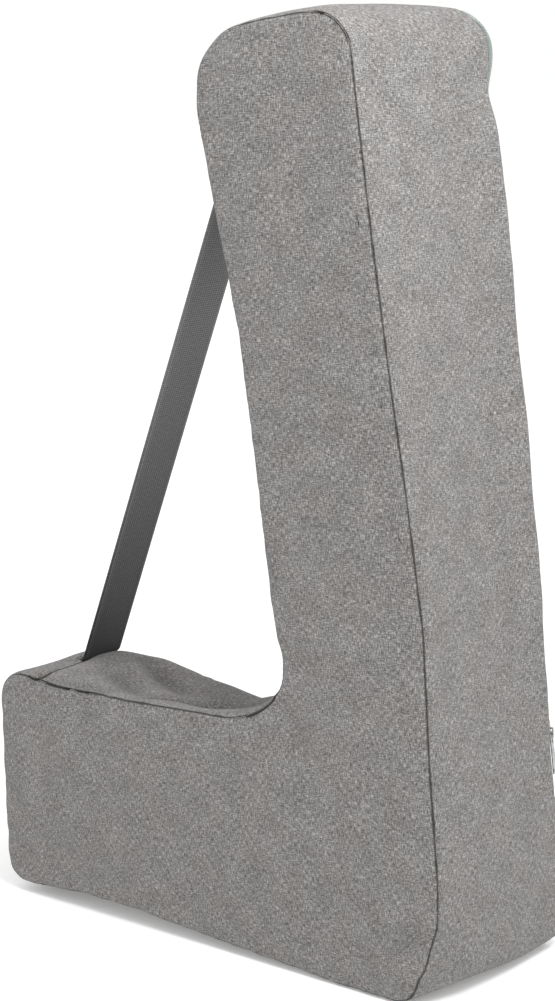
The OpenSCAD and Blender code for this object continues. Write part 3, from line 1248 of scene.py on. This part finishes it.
@dataclass
class Zip:
    """The zip: two tapes, two coils, stops, slider and pull."""

    size: Sizes = SIZE
    tape: float = 0.0008
    pin_height: float = 0.0044
    pin_along: float = 0.0042

    @property
    def straight_run(self) -> float:
        """Length of the straight part up the back."""
        return self.size.height - self.size.top_back_radius - self.size.zip_low

    @property
    def total(self) -> float:
        """Length of the whole tape."""
        return self.straight_run + self.size.top_back_radius * math.pi / 2 + self.size.zip_top_run

    def place(self, along: Array, out: Array, across: Array) -> Array:
        """Puts points given along, out of and across the tape on the draped support.

        Args:
            along: Distances from the zip's lower end.
            out: Heights over the tape.
            across: Distances from the centre line.

        Returns:
            Rows of x, y and z.
        """
        s = self.size
        r, first = s.top_back_radius, self.straight_run
        bent = r * math.pi / 2
        c, t = math.cos(s.zip_turn), math.sin(s.zip_turn)
        px = s.zip_centre[0] + out * c - across * t
        py = s.zip_centre[1] + out * t + across * c
        turn = np.clip((along - first) / r, 0, math.pi / 2)
        after = np.maximum(along - first - bent, 0)
        x = (r + px) * np.cos(turn) - r - after
        z = s.zip_low + np.minimum(along, first) + (r + px) * np.sin(turn)
        rest = s.on_upright(np.stack([x, py, z], 1))
        return rest + Drape(s).shift(rest)

    def tape_half(self, name: str, side: int) -> bpy.types.Object:
        """One woven half of the tape.

        Args:
            name: The piece's name.
            side: -1 for the half on the back and 1 for the half on the side.

        Returns:
            The piece.
        """
        s = self.size
        along = np.arange(0, self.total, 0.004)
        across = side * np.array([0.0007, 0.0022, 0.0036, 0.0052, 0.0066, 0.008])
        if side > 0:
            across = across[::-1]
        a, v = np.meshgrid(along, across, indexing="ij")
        points = self.place(a.ravel(), 0 * a.ravel(), v.ravel()).reshape(*a.shape, 3)
        flat = np.stack([v, a], 2)
        return grid_piece(name, points[:, ::-1], flat[:, ::-1], self.tape)

    def coil(self, name: str, side: int) -> bpy.types.Object:
        """One half of the coil: a row of rings that interlock with the other half's.

        Args:
            name: The piece's name.
            side: -1 for the half on the back and 1 for the half on the side.

        Returns:
            The piece.
        """
        only(None)
        bpy.ops.mesh.primitive_torus_add(
            major_segments=9,
            minor_segments=4,
            major_radius=1.0,
            minor_radius=0.33,
            rotation=(math.pi / 2, 0, 0),
        )
        unit = bpy.context.active_object
        only(unit)
        bpy.ops.object.transform_apply(location=True, rotation=True, scale=True)
        shape = corners_of(unit)
        start = self.size.slider_rest - self.size.zip_low + 0.012
        end = self.total - 0.010
        pitch = 0.00128
        places = []
        for k in range(int((end - start) / pitch)):
            at = start + (k + (0.25 if side > 0 else 0.75)) * pitch
            tilt = shape[:, 0] * 0.12 * side
            places.append(
                self.place(
                    at + (shape[:, 1] + tilt) * 0.0009,
                    0.00105 + shape[:, 2] * 0.0007,
                    side * 0.00155 + shape[:, 0] * 0.00125,
                )
            )
        return stamped(name, unit, places)

    @staticmethod
    def blocks(
        name: str, parts: list[tuple[tuple[float, ...], tuple[float, ...]]], bevel: float
    ) -> bpy.types.Object:
        """Rounded metal blocks, joined, in the zip's own axes: out, across and along.

        Args:
            name: The piece's name.
            parts: The middle and the size of each block.
            bevel: Rounding of the edges.

        Returns:
            The joined object, not placed yet.
        """
        made = []
        for middle, extent in parts:
            only(None)
            bpy.ops.mesh.primitive_cube_add(size=1, location=middle)
            obj = bpy.context.active_object
            obj.scale = extent
            only(obj)
            bpy.ops.object.transform_apply(location=True, rotation=True, scale=True)
            edge = obj.modifiers.new("edge", "BEVEL")
            edge.width = min(bevel, min(extent) * 0.45)
            edge.segments = 3
            bpy.ops.object.modifier_apply(modifier=edge.name)
            made.append(obj)
        only(made[0])
        for obj in made:
            obj.select_set(True)
        bpy.context.view_layer.objects.active = made[0]
        if len(made) > 1:
            bpy.ops.object.join()
        joined = bpy.context.active_object
        joined.name = name
        bpy.ops.object.shade_smooth_by_angle(angle=math.radians(40))
        return joined

    def lay(self, obj: bpy.types.Object, along: float) -> bpy.types.Object:
        """Places an object made in the zip's own axes at a distance along the zip.

        Args:
            obj: The object.
            along: Distance from the zip's lower end.

        Returns:
            The same object.
        """
        p = corners_of(obj)
        placed = self.place(along + p[:, 2], p[:, 0], p[:, 1])
        obj.data.vertices.foreach_set("co", placed.astype(np.float32).ravel())
        obj.data.update()
        return obj

    def slider(self) -> bpy.types.Object:
        """Slider: two plates, side flanges, a wedge and the bridge for the pull.

        Returns:
            The piece.
        """
        top, low = 0.0024, -0.0024
        parts = [
            ((top + 0.0006, 0, 0.0055), (0.0012, 0.0086, 0.0110)),
            ((low + 0.0006, 0, 0.0055), (0.0012, 0.0086, 0.0110)),
            ((0.0014, 0.0040, 0.0055), (0.0022, 0.0008, 0.0104)),
            ((0.0014, -0.0040, 0.0055), (0.0022, 0.0008, 0.0104)),
            ((0.0002, 0, 0.0024), (0.0046, 0.0007, 0.0034)),
            ((0.0046, 0, 0.0018), (0.0026, 0.0017, 0.0014)),
            ((0.0046, 0, 0.0069), (0.0026, 0.0017, 0.0014)),
            ((0.0057, 0, 0.0043), (0.0009, 0.0017, 0.0064)),
        ]
        obj = self.blocks("slider_body", parts, 0.0005)
        obj.data.transform(self.size.zip_matrix(self.size.slider_rest))
        return obj

    def pull(self) -> bpy.types.Object:
        """Pull: a pin, two cheeks and a frame round a thin plate.

        Returns:
            The piece.
        """
        only(None)
        bpy.ops.mesh.primitive_cylinder_add(
            vertices=20, radius=0.00058, depth=0.0064, rotation=(math.pi / 2, 0, 0)
        )
        pin = bpy.context.active_object
        only(pin)
        bpy.ops.object.transform_apply(location=True, rotation=True, scale=True)
        plate = self.blocks(
            "pull_tab",
            [
                ((0, 0.0024, -0.0040), (0.0011, 0.0017, 0.0080)),
                ((0, -0.0024, -0.0040), (0.0011, 0.0017, 0.0080)),
                ((0, 0, -0.0088), (0.0011, 0.0066, 0.0036)),
                ((0, 0.0026, -0.0176), (0.0011, 0.0014, 0.0160)),
                ((0, -0.0026, -0.0176), (0.0011, 0.0014, 0.0160)),
                ((0, 0, -0.0250), (0.0011, 0.0066, 0.0040)),
                ((0, 0, -0.0170), (0.0006, 0.0046, 0.0150)),
            ],
            0.0004,
        )
        pin.select_set(True)
        plate.select_set(True)
        bpy.context.view_layer.objects.active = plate
        bpy.ops.object.join()
        plate = bpy.context.active_object
        pin_place = Matrix.Translation((self.pin_height, 0, self.pin_along))
        plate.data.transform(self.size.zip_matrix(self.size.slider_rest) @ pin_place)
        return plate


class Board:
    """A material's node board, with short ways to add and join nodes."""

    def __init__(self, name: str) -> None:
        """Starts an empty material.

        Args:
            name: The finish's name.
        """
        self.material = bpy.data.materials.new(name)
        self.material.use_nodes = True
        self.tree = self.material.node_tree
        self.tree.nodes.clear()
        out = self.tree.nodes.new("ShaderNodeOutputMaterial")
        self.shader = self.tree.nodes.new("ShaderNodeBsdfPrincipled")
        self.tree.links.new(self.shader.outputs[0], out.inputs[0])

    def put(self, socket: bpy.types.NodeSocket, value: object) -> None:
        """Feeds a socket with another node's output or a plain value.

        Args:
            socket: The socket.
            value: An output, a value, or None to leave the socket as it is.
        """
        if isinstance(value, bpy.types.NodeSocket):
            self.tree.links.new(value, socket)
        elif value is not None:
            socket.default_value = value

    def node(
        self, kind: str, ins: dict[str | int, object] | None = None, **options: object
    ) -> bpy.types.Node:
        """Adds a node.

        Args:
            kind: The node's type, without its usual prefix.
            ins: Values or outputs for its sockets.
            options: Properties of the node.

        Returns:
            The node.
        """
        made = self.tree.nodes.new("ShaderNode" + kind)
        for key, value in options.items():
            setattr(made, key, value)
        for key, value in (ins or {}).items():
            self.put(made.inputs[key], value)
        return made

    def calc(self, op: str, *args: object) -> bpy.types.NodeSocket:
        """Arithmetic on plain numbers.

        Args:
            op: The operation, such as ADD.
            args: Its numbers or outputs.

        Returns:
            The result's socket.
        """
        return self.node("Math", dict(enumerate(args)), operation=op).outputs[0]

    def times(self, colour: object, factor: object) -> bpy.types.NodeSocket:
        """Multiplies a colour by another colour or a number.

        Args:
            colour: The colour's socket.
            factor: What it is multiplied by.

        Returns:
            The result's socket.
        """
        ins = {"Fac": 1.0, "Color1": colour, "Color2": factor}
        return self.node("MixRGB", ins, blend_type="MULTIPLY").outputs[0]

    def from_to(
        self, value: object, given: tuple[float, float], wanted: tuple[float, float]
    ) -> bpy.types.NodeSocket:
        """Carries a value from one range over to another, and holds it there.

        Args:
            value: The value's socket.
            given: The range that it has.
            wanted: The range that it gets.

        Returns:
            The result's socket.
        """
        ins = dict(zip(("From Min", "From Max", "To Min", "To Max"), (*given, *wanted)))
        return self.node("MapRange", {"Value": value, **ins}).outputs[0]

    def pattern(self, across: float, along: float) -> bpy.types.NodeSocket:
        """Coordinates on the flat pattern.

        Args:
            across: Repeats per metre across the pattern.
            along: Repeats per metre along it.

        Returns:
            The coordinates' socket.
        """
        uv = self.node("UVMap", uv_map="pattern").outputs[0]
        return self.node("Mapping", {"Vector": uv, "Scale": (across, along, 1.0)}).outputs[0]

    def noise(
        self, vector: object, scale: float, detail: float = 2.0, rough: float = 0.5
    ) -> bpy.types.NodeSocket:
        """A noise pattern's value.

        Args:
            vector: Where to look it up.
            scale: How fine it is.
            detail: How many finer layers it has.
            rough: How strong those are.

        Returns:
            The value's socket.
        """
        made = self.node("TexNoise", {"Vector": vector, "Scale": scale, "Detail": detail, "Roughness": rough})
        return made.outputs["Fac"]

    def ramp(
        self, value: object, stops: list[tuple[float, tuple[float, float, float]]]
    ) -> bpy.types.NodeSocket:
        """A colour ramp.

        Args:
            value: Where to look it up.
            stops: Places and colours.

        Returns:
            The colour's socket.
        """
        made = self.node("ValToRGB", {"Fac": value})
        ramp = made.color_ramp
        while len(ramp.elements) < len(stops):
            ramp.elements.new(0.5)
        for element, (place, colour) in zip(ramp.elements, stops):
            element.position = place
            element.color = (*colour, 1.0)
        return made.outputs["Color"]

    def bump(self, height: object, strength: float, distance: float) -> None:
        """Roughens the surface.

        Args:
            height: The height's socket.
            strength: How strongly it shows.
            distance: How high it is.
        """
        made = self.node("Bump", {"Height": height, "Strength": strength, "Distance": distance})
        self.put(self.shader.inputs["Normal"], made.outputs[0])


@dataclass(frozen=True)
class Melange:
    """Grey melange cloth: fine plain weave whose threads vary in tone along their length."""

    name: str
    light: float = 0.568

    def make(self) -> bpy.types.Material:
        """Builds the material.

        Returns:
            The material.
        """
        b = Board(self.name)
        warp = b.noise(b.pattern(1550, 300), 1.0, 2.0, 0.6)
        weft = b.noise(b.pattern(300, 1550), 1.0, 2.0, 0.6)
        fine = b.noise(b.pattern(1500, 1500), 1.0, 1.0, 0.5)
        cloud = b.noise(b.pattern(55, 55), 1.0, 4.0, 0.6)
        tone = b.calc("ADD", b.calc("MULTIPLY", warp, 1.55), b.calc("MULTIPLY", weft, 1.45))
        tone = b.calc("ADD", tone, b.calc("MULTIPLY", fine, 0.6))
        tone = b.calc("ADD", tone, b.calc("MULTIPLY", cloud, 0.35))
        tone = b.calc("SUBTRACT", tone, 1.475)
        k = self.light
        colour = b.ramp(
            tone,
            [
                (0.12, (0.112 * k, 0.105 * k, 0.101 * k)),
                (0.40, (0.238 * k, 0.228 * k, 0.222 * k)),
                (0.60, (0.342 * k, 0.330 * k, 0.322 * k)),
                (0.88, (0.620 * k, 0.608 * k, 0.598 * k)),
            ],
        )
        gap = b.node("Attribute", attribute_name="seam_gap").outputs["Fac"]
        fold = b.node("Attribute", attribute_name="fold").outputs["Fac"]
        # Painted shade along the seams: the colour falls to near black within about 1 mm of a seam, standing
        # for the groove's shadow and partly for its dark thread.
        colour = b.times(colour, b.from_to(gap, (0.0009, 0.0021), (0.08, 1.0)))
        # Painted shade in the creases: the colour falls to two thirds where a fold presses deepest.
        colour = b.times(colour, b.from_to(fold, (0.0005, 0.006), (1.0, 0.66)))
        drift = b.noise(b.pattern(30, 30), 1.0, 3.0, 0.6)
        hue = b.ramp(drift, [(0.36, (0.985, 1.0, 1.005)), (0.64, (1.025, 1.0, 0.985))])
        b.put(b.shader.inputs["Base Color"], b.times(colour, hue))
        b.shader.inputs["Roughness"].default_value = 0.94
        b.shader.inputs["Specular IOR Level"].default_value = 0.12
        b.shader.inputs["Sheen Weight"].default_value = 0.12
        b.shader.inputs["Sheen Roughness"].default_value = 0.6
        b.bump(tone, 0.45, 0.0005)
        return b.material


@dataclass(frozen=True)
class Plain:
    """A plain finish with a little grain."""

    name: str
    colour: tuple[float, float, float]
    rough: float = 0.7
    metal: float = 0.0
    grain: float = 900.0

    def make(self) -> bpy.types.Material:
        """Builds the material.

        Returns:
            The material.
        """
        b = Board(self.name)
        place = b.node("TexCoord").outputs["Object"]
        spot = b.noise(place, self.grain, 3.0, 0.6)
        r, g, u = self.colour
        colour = b.ramp(spot, [(0.25, (r * 0.75, g * 0.75, u * 0.75)), (0.75, (r * 1.2, g * 1.2, u * 1.2))])
        b.put(b.shader.inputs["Base Color"], colour)
        b.shader.inputs["Roughness"].default_value = self.rough
        b.shader.inputs["Metallic"].default_value = self.metal
        b.bump(spot, 0.15, 0.0003)
        return b.material


@dataclass(frozen=True)
class Webbing:
    """Dark woven webbing: fine cross ribs, a lighter line inside each edge and painted shade near the arm."""

    name: str
    half: float = SIZE.strap_width / 2

    def make(self) -> bpy.types.Material:
        """Builds the material.

        Returns:
            The material.
        """
        b = Board(self.name)
        uv = b.node("UVMap", uv_map="pattern").outputs[0]
        parts = b.node("SeparateXYZ", {"Vector": uv}).outputs
        side = b.calc("DIVIDE", b.calc("ABSOLUTE", parts[0]), self.half)
        off = b.calc("ABSOLUTE", b.calc("SUBTRACT", side, 0.885))
        line = b.node(
            "MapRange", {"Value": off, "From Min": 0.035, "From Max": 0.008}, interpolation_type="SMOOTHSTEP"
        )
        rib = b.calc("SINE", b.calc("MULTIPLY", parts[1], 2 * math.pi / 0.0016))
        cord = b.calc("SINE", b.calc("MULTIPLY", parts[0], 2 * math.pi / 0.0022))
        weave = b.calc("ADD", b.calc("MULTIPLY", rib, 0.10), b.calc("MULTIPLY", cord, 0.10))
        grain = b.noise(b.pattern(900, 500), 1.0, 3.0, 0.6)
        weave = b.calc("ADD", weave, b.calc("MULTIPLY", grain, 0.55))
        # Painted shade along the strap: its tone is lowest at its lower end by the arm and rises up towards
        # the upright.
        arm_end_shade = b.from_to(parts[1], (0.02, 0.28), (-0.30, 0.22))
        tone = b.calc("ADD", b.calc("ADD", weave, arm_end_shade), b.calc("MULTIPLY", line.outputs[0], 0.20))
        colour = b.ramp(
            tone, [(0.02, (0.018, 0.018, 0.019)), (0.35, (0.092, 0.092, 0.094)), (0.75, (0.26, 0.26, 0.262))]
        )
        b.put(b.shader.inputs["Base Color"], colour)
        b.shader.inputs["Roughness"].default_value = 0.62
        b.shader.inputs["Specular IOR Level"].default_value = 0.35
        b.shader.inputs["Sheen Weight"].default_value = 0.1
        b.bump(weave, 0.25, 0.0003)
        return b.material


@dataclass(frozen=True)
class TapeCloth:
    """Pale grey-green zip tape with a fine chevron weave."""

    name: str

    def make(self) -> bpy.types.Material:
        """Builds the material.

        Returns:
            The material.
        """
        b = Board(self.name)
        uv = b.node("UVMap", uv_map="pattern").outputs[0]
        parts = b.node("SeparateXYZ", {"Vector": uv}).outputs
        fold = b.calc("PINGPONG", parts[0], 0.0011)
        rows = b.calc("SINE", b.calc("MULTIPLY", b.calc("ADD", parts[1], fold), 2 * math.pi / 0.0009))
        tone = b.calc("ADD", b.calc("MULTIPLY", rows, 0.2), b.noise(b.pattern(1500, 700), 1.0, 2.0, 0.5))
        colour = b.ramp(tone, [(0.1, (0.29, 0.33, 0.315)), (0.9, (0.47, 0.53, 0.51))])
        b.put(b.shader.inputs["Base Color"], colour)
        b.shader.inputs["Roughness"].default_value = 0.85
        b.bump(tone, 0.3, 0.0002)
        return b.material


@dataclass
class Studio:
    """Floor, backdrop, lights and camera."""

    eye: tuple[float, float, float] = (0.895, -1.0836, 0.5614)
    yaw: float = 0.6837
    pitch: float = -0.19
    roll: float = -0.0238
    lens: float = 78.4
    shift: float = -0.0045
    middle: tuple[float, float, float] = (0.0, 0.0, 0.3)

    def build(self) -> None:
        """Sets the stage."""
        only(None)
        bpy.ops.mesh.primitive_plane_add(size=40, location=(0, 0, 0))
        floor = bpy.context.active_object
        floor.name = "floor"
        only(floor)
        bpy.ops.object.transform_apply(location=True, rotation=True, scale=True)
        b = Board("floor_paper")
        place = b.node("TexCoord").outputs["Object"]
        paper = b.ramp(b.noise(place, 3.0), [(0.3, (0.95, 0.95, 0.95)), (0.7, (0.97, 0.97, 0.97))])
        b.put(b.shader.inputs["Base Color"], paper)
        b.shader.inputs["Roughness"].default_value = 0.95
        b.shader.inputs["Emission Color"].default_value = (1, 1, 1, 1)
        b.shader.inputs["Emission Strength"].default_value = 0.16
        floor.data.materials.append(b.material)
        world = bpy.data.worlds.new("studio")
        bpy.context.scene.world = world
        world.use_nodes = True
        world.node_tree.nodes["Background"].inputs[0].default_value = (1, 1, 1, 1)
        world.node_tree.nodes["Background"].inputs[1].default_value = 1.0
        self.lamp("key", (0.54, -0.29, 0.98), 0.3, 6.2)
        self.camera()

    def lamp(self, name: str, place: tuple[float, float, float], size: float, power: float) -> None:
        """Adds one soft square lamp that looks at the middle of the object.

        Args:
            name: The lamp's name.
            place: Where it hangs.
            size: Its width.
            power: Its power in watts.
        """
        data = bpy.data.lights.new(name, "AREA")
        data.shape = "SQUARE"
        data.size = size
        data.energy = power
        obj = bpy.data.objects.new(name, data)
        bpy.context.collection.objects.link(obj)
        obj.location = place
        gaze = Vector(self.middle) - Vector(place)
        obj.rotation_euler = gaze.to_track_quat("-Z", "Y").to_euler()

    def camera(self) -> None:
        """Adds the camera, near the heel's side and a little above the arm."""
        level = math.cos(self.pitch)
        ahead = Vector((-math.sin(self.yaw) * level, math.cos(self.yaw) * level, math.sin(self.pitch)))
        flat = ahead.cross(Vector((0, 0, 1))).normalized()
        steep = flat.cross(ahead)
        c, s = math.cos(self.roll), math.sin(self.roll)
        right = flat * c + steep * s
        up = steep * c - flat * s
        data = bpy.data.cameras.new("camera")
        data.lens = self.lens
        data.shift_y = self.shift
        data.sensor_width = 36
        cam = bpy.data.objects.new("camera", data)
        bpy.context.collection.objects.link(cam)
        turned = Matrix((right, up, -ahead)).transposed().to_4x4()
        cam.matrix_world = Matrix.Translation(self.eye) @ turned
        bpy.context.scene.camera = cam


class Slot(Enum):
    """Material slots of the record."""

    COVER = "cover"
    FOAM = "foam"
    THREAD = "thread"
    WEBBING = "webbing"
    WEBBING_THREAD = "webbing_thread"
    ZIP_TAPE = "zip_tape"
    ZIP_COIL = "zip_coil"
    ZIP_METAL = "zip_metal"


FINISHES = {
    Slot.COVER: Melange("grey_melange"),
    Slot.FOAM: Plain("cream_foam", (0.78, 0.72, 0.55), 0.95, grain=700),
    Slot.THREAD: Plain("seam_thread", (0.055, 0.054, 0.052), 0.8, grain=1500),
    Slot.WEBBING: Webbing("dark_webbing"),
    Slot.WEBBING_THREAD: Plain("strap_thread", (0.05, 0.05, 0.051), 0.7, grain=1500),
    Slot.ZIP_TAPE: TapeCloth("pale_tape"),
    Slot.ZIP_COIL: Plain("coil_nylon", (0.36, 0.42, 0.40), 0.42, grain=1200),
    Slot.ZIP_METAL: Plain("worn_nickel", (0.42, 0.43, 0.42), 0.32, 1.0, grain=500),
}

PANEL_NODES = {
    Panel.SIDE_NEAR: "side_panel_near",
    Panel.SIDE_FAR: "side_panel_far",
    Panel.BACK: "back_gusset",
    Panel.FRONT: "front_gusset",
    Panel.END: "end_gusset",
    Panel.BASE: "base_panel",
}

# Six folds on the arm's top, two in the inside corner, two at the top corner, one at the heel.
CREASES = (
    Crease((-0.156, -0.0685, 0.160), (-0.149, -0.050, 0.164), 0.0024, 0.005),
    Crease((-0.150, -0.0630, 0.163), (-0.085, -0.0600, 0.163), 0.0030, 0.006),
    Crease((-0.125, -0.0250, 0.164), (-0.070, -0.0470, 0.164), 0.0050, 0.009),
    Crease((-0.120, 0.0050, 0.164), (-0.055, -0.0180, 0.164), 0.0055, 0.008),
    Crease((-0.065, -0.0500, 0.164), (-0.005, -0.0100, 0.164), 0.0060, 0.009),
    Crease((-0.010, -0.0500, 0.165), (0.040, -0.0150, 0.168), 0.0045, 0.009),
    Crease((0.035, -0.0640, 0.166), (0.064, -0.0560, 0.190), 0.0060, 0.006),
    Crease((0.064, -0.0685, 0.176), (0.090, -0.0685, 0.148), 0.0024, 0.007),
    Crease((0.100, -0.0600, 0.606), (0.130, -0.0685, 0.588), 0.0022, 0.007),
    Crease((0.132, -0.0560, 0.580), (0.136, -0.0450, 0.530), 0.0016, 0.009),
    Crease((0.150, -0.0685, 0.020), (0.175, -0.0685, 0.055), 0.0020, 0.010),
)


@dataclass
class Support:
    """The whole support: makes each piece and hands it to the frame."""

    size: Sizes = SIZE
    finishes: dict[Slot, bpy.types.Material] = field(default_factory=dict)

    def add(
        self,
        obj: bpy.types.Object,
        slot: Slot,
        *nodes: str,
        body: str = ROOT,
        fill: float | None = None,
    ) -> None:
        """Finishes a piece and ties it to the frame.

        Args:
            obj: The piece.
            slot: The record's slot that it takes its finish from.
            nodes: The CAD nodes that it stands for.
            body: The CAD body that it rides on.
            fill: For a padded piece, how full it is; not used.
        """
        if slot not in self.finishes:
            self.finishes[slot] = FINISHES[slot].make()
        obj.data.materials.clear()
        obj.data.materials.append(self.finishes[slot])
        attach(obj, body)
        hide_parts(*nodes)
        log.info("%s: %d faces", obj.name, len(obj.data.polygons))

    def build(self) -> None:
        """Makes everything."""
        cover = CoverCloth(self.size, creases=CREASES)
        cover.build()
        log.info("cover: %d vertices, %d faces", len(cover.rest), len(cover.faces))
        cover.smooth_into(cover.settle(cover.puff()))
        panels = cover.cut()
        for panel, obj in panels.items():
            self.add(obj, Slot.COVER, PANEL_NODES[panel], fill=0.85)
        foam = Foam(self.size)
        self.add(foam.block("foam_block_upright", True), Slot.FOAM, "foam_upright", fill=1.0)
        self.add(foam.block("foam_block_arm", False), Slot.FOAM, "foam_arm", fill=1.0)
        self.sew(cover, panels)
        self.zip()

    def sew(self, cover: CoverCloth, panels: dict[Panel, bpy.types.Object]) -> None:
        """Adds the seams' stitches and the strap with its own stitches.

        Args:
            cover: The settled cover.
            panels: Its cut panels.
        """
        o = cover.outline
        m, n = cover.shape
        stitching = Stitching()
        rows = cover.final[: m * n].reshape(m, n, 3)
        self.add(stitching.seam("near_stitches", rows[0], True), Slot.THREAD, "near_seam_thread")
        first, last = np.flatnonzero(o.zip_share() > 0.3)[[0, -1]]
        far = np.concatenate([rows[-1][last + 1 :], rows[-1][:first]])
        self.add(stitching.seam("far_stitches", far), Slot.THREAD, "far_seam_thread")
        for mark, name in (
            (Mark.TOP_SEAM, "top"),
            (Mark.ARM_SEAM, "arm"),
            (Mark.TOE_SEAM, "toe"),
            (Mark.HEEL_SEAM, "heel"),
        ):
            path = rows[:, o.at[mark]]
            self.add(stitching.seam(f"{name}_stitches", path), Slot.THREAD, f"{name}_seam_thread")
        self.add(Strap(self.size).build(), Slot.WEBBING, "strap")
        s = self.size
        for mark, name, panel, heading in (
            (Mark.ARM_SEAM, "lower", Panel.END, np.array([-1.0, 0, 0])),
            (Mark.TOP_SEAM, "upper", Panel.BACK, np.array([-math.sin(s.lean), 0, math.cos(s.lean)])),
        ):
            middle = rows[m // 2, o.at[mark]] * [1, 0, 1] + heading * 0.005
            tack = stitching.bartack(f"strap_{name}_stitches", middle, heading, panels[panel])
            self.add(tack, Slot.WEBBING_THREAD, f"strap_{name}_bartack")

    def zip(self) -> None:
        """Adds the zip."""
        line = Zip(self.size)
        for name, side in (("back", -1), ("side", 1)):
            self.add(line.tape_half(f"tape_{name}", side), Slot.ZIP_TAPE, f"zip_tape_{name}")
            self.add(line.coil(f"coil_{name}", side), Slot.ZIP_COIL, f"zip_coil_{name}")
        stops = [((0.0016, side * 0.0019, 0), (0.0030, 0.0023, 0.0025)) for side in (-1, 1)]
        closing = line.blocks("closing_stops", stops, 0.0006)
        below_slider = self.size.slider_rest - self.size.zip_low - 0.0017
        self.add(line.lay(closing, below_slider), Slot.ZIP_METAL, "zip_closing_stops")
        opening = line.blocks("opening_stop", [((0.0011, 0, 0), (0.0022, 0.0062, 0.0036))], 0.0007)
        self.add(line.lay(opening, line.total - 0.005), Slot.ZIP_METAL, "zip_opening_stop")
        self.add(line.slider(), Slot.ZIP_METAL, "zip_slider", body="slider")
        self.add(line.pull(), Slot.ZIP_METAL, "zip_pull", body="pull")


def main() -> None:
    """Builds the stage and the support."""
    logging.basicConfig(level=logging.INFO, format="%(message)s")
    bpy.context.scene.view_settings.view_transform = "Standard"
    Studio().build()
    Support().build()


if __name__ == "__main__":
    main()
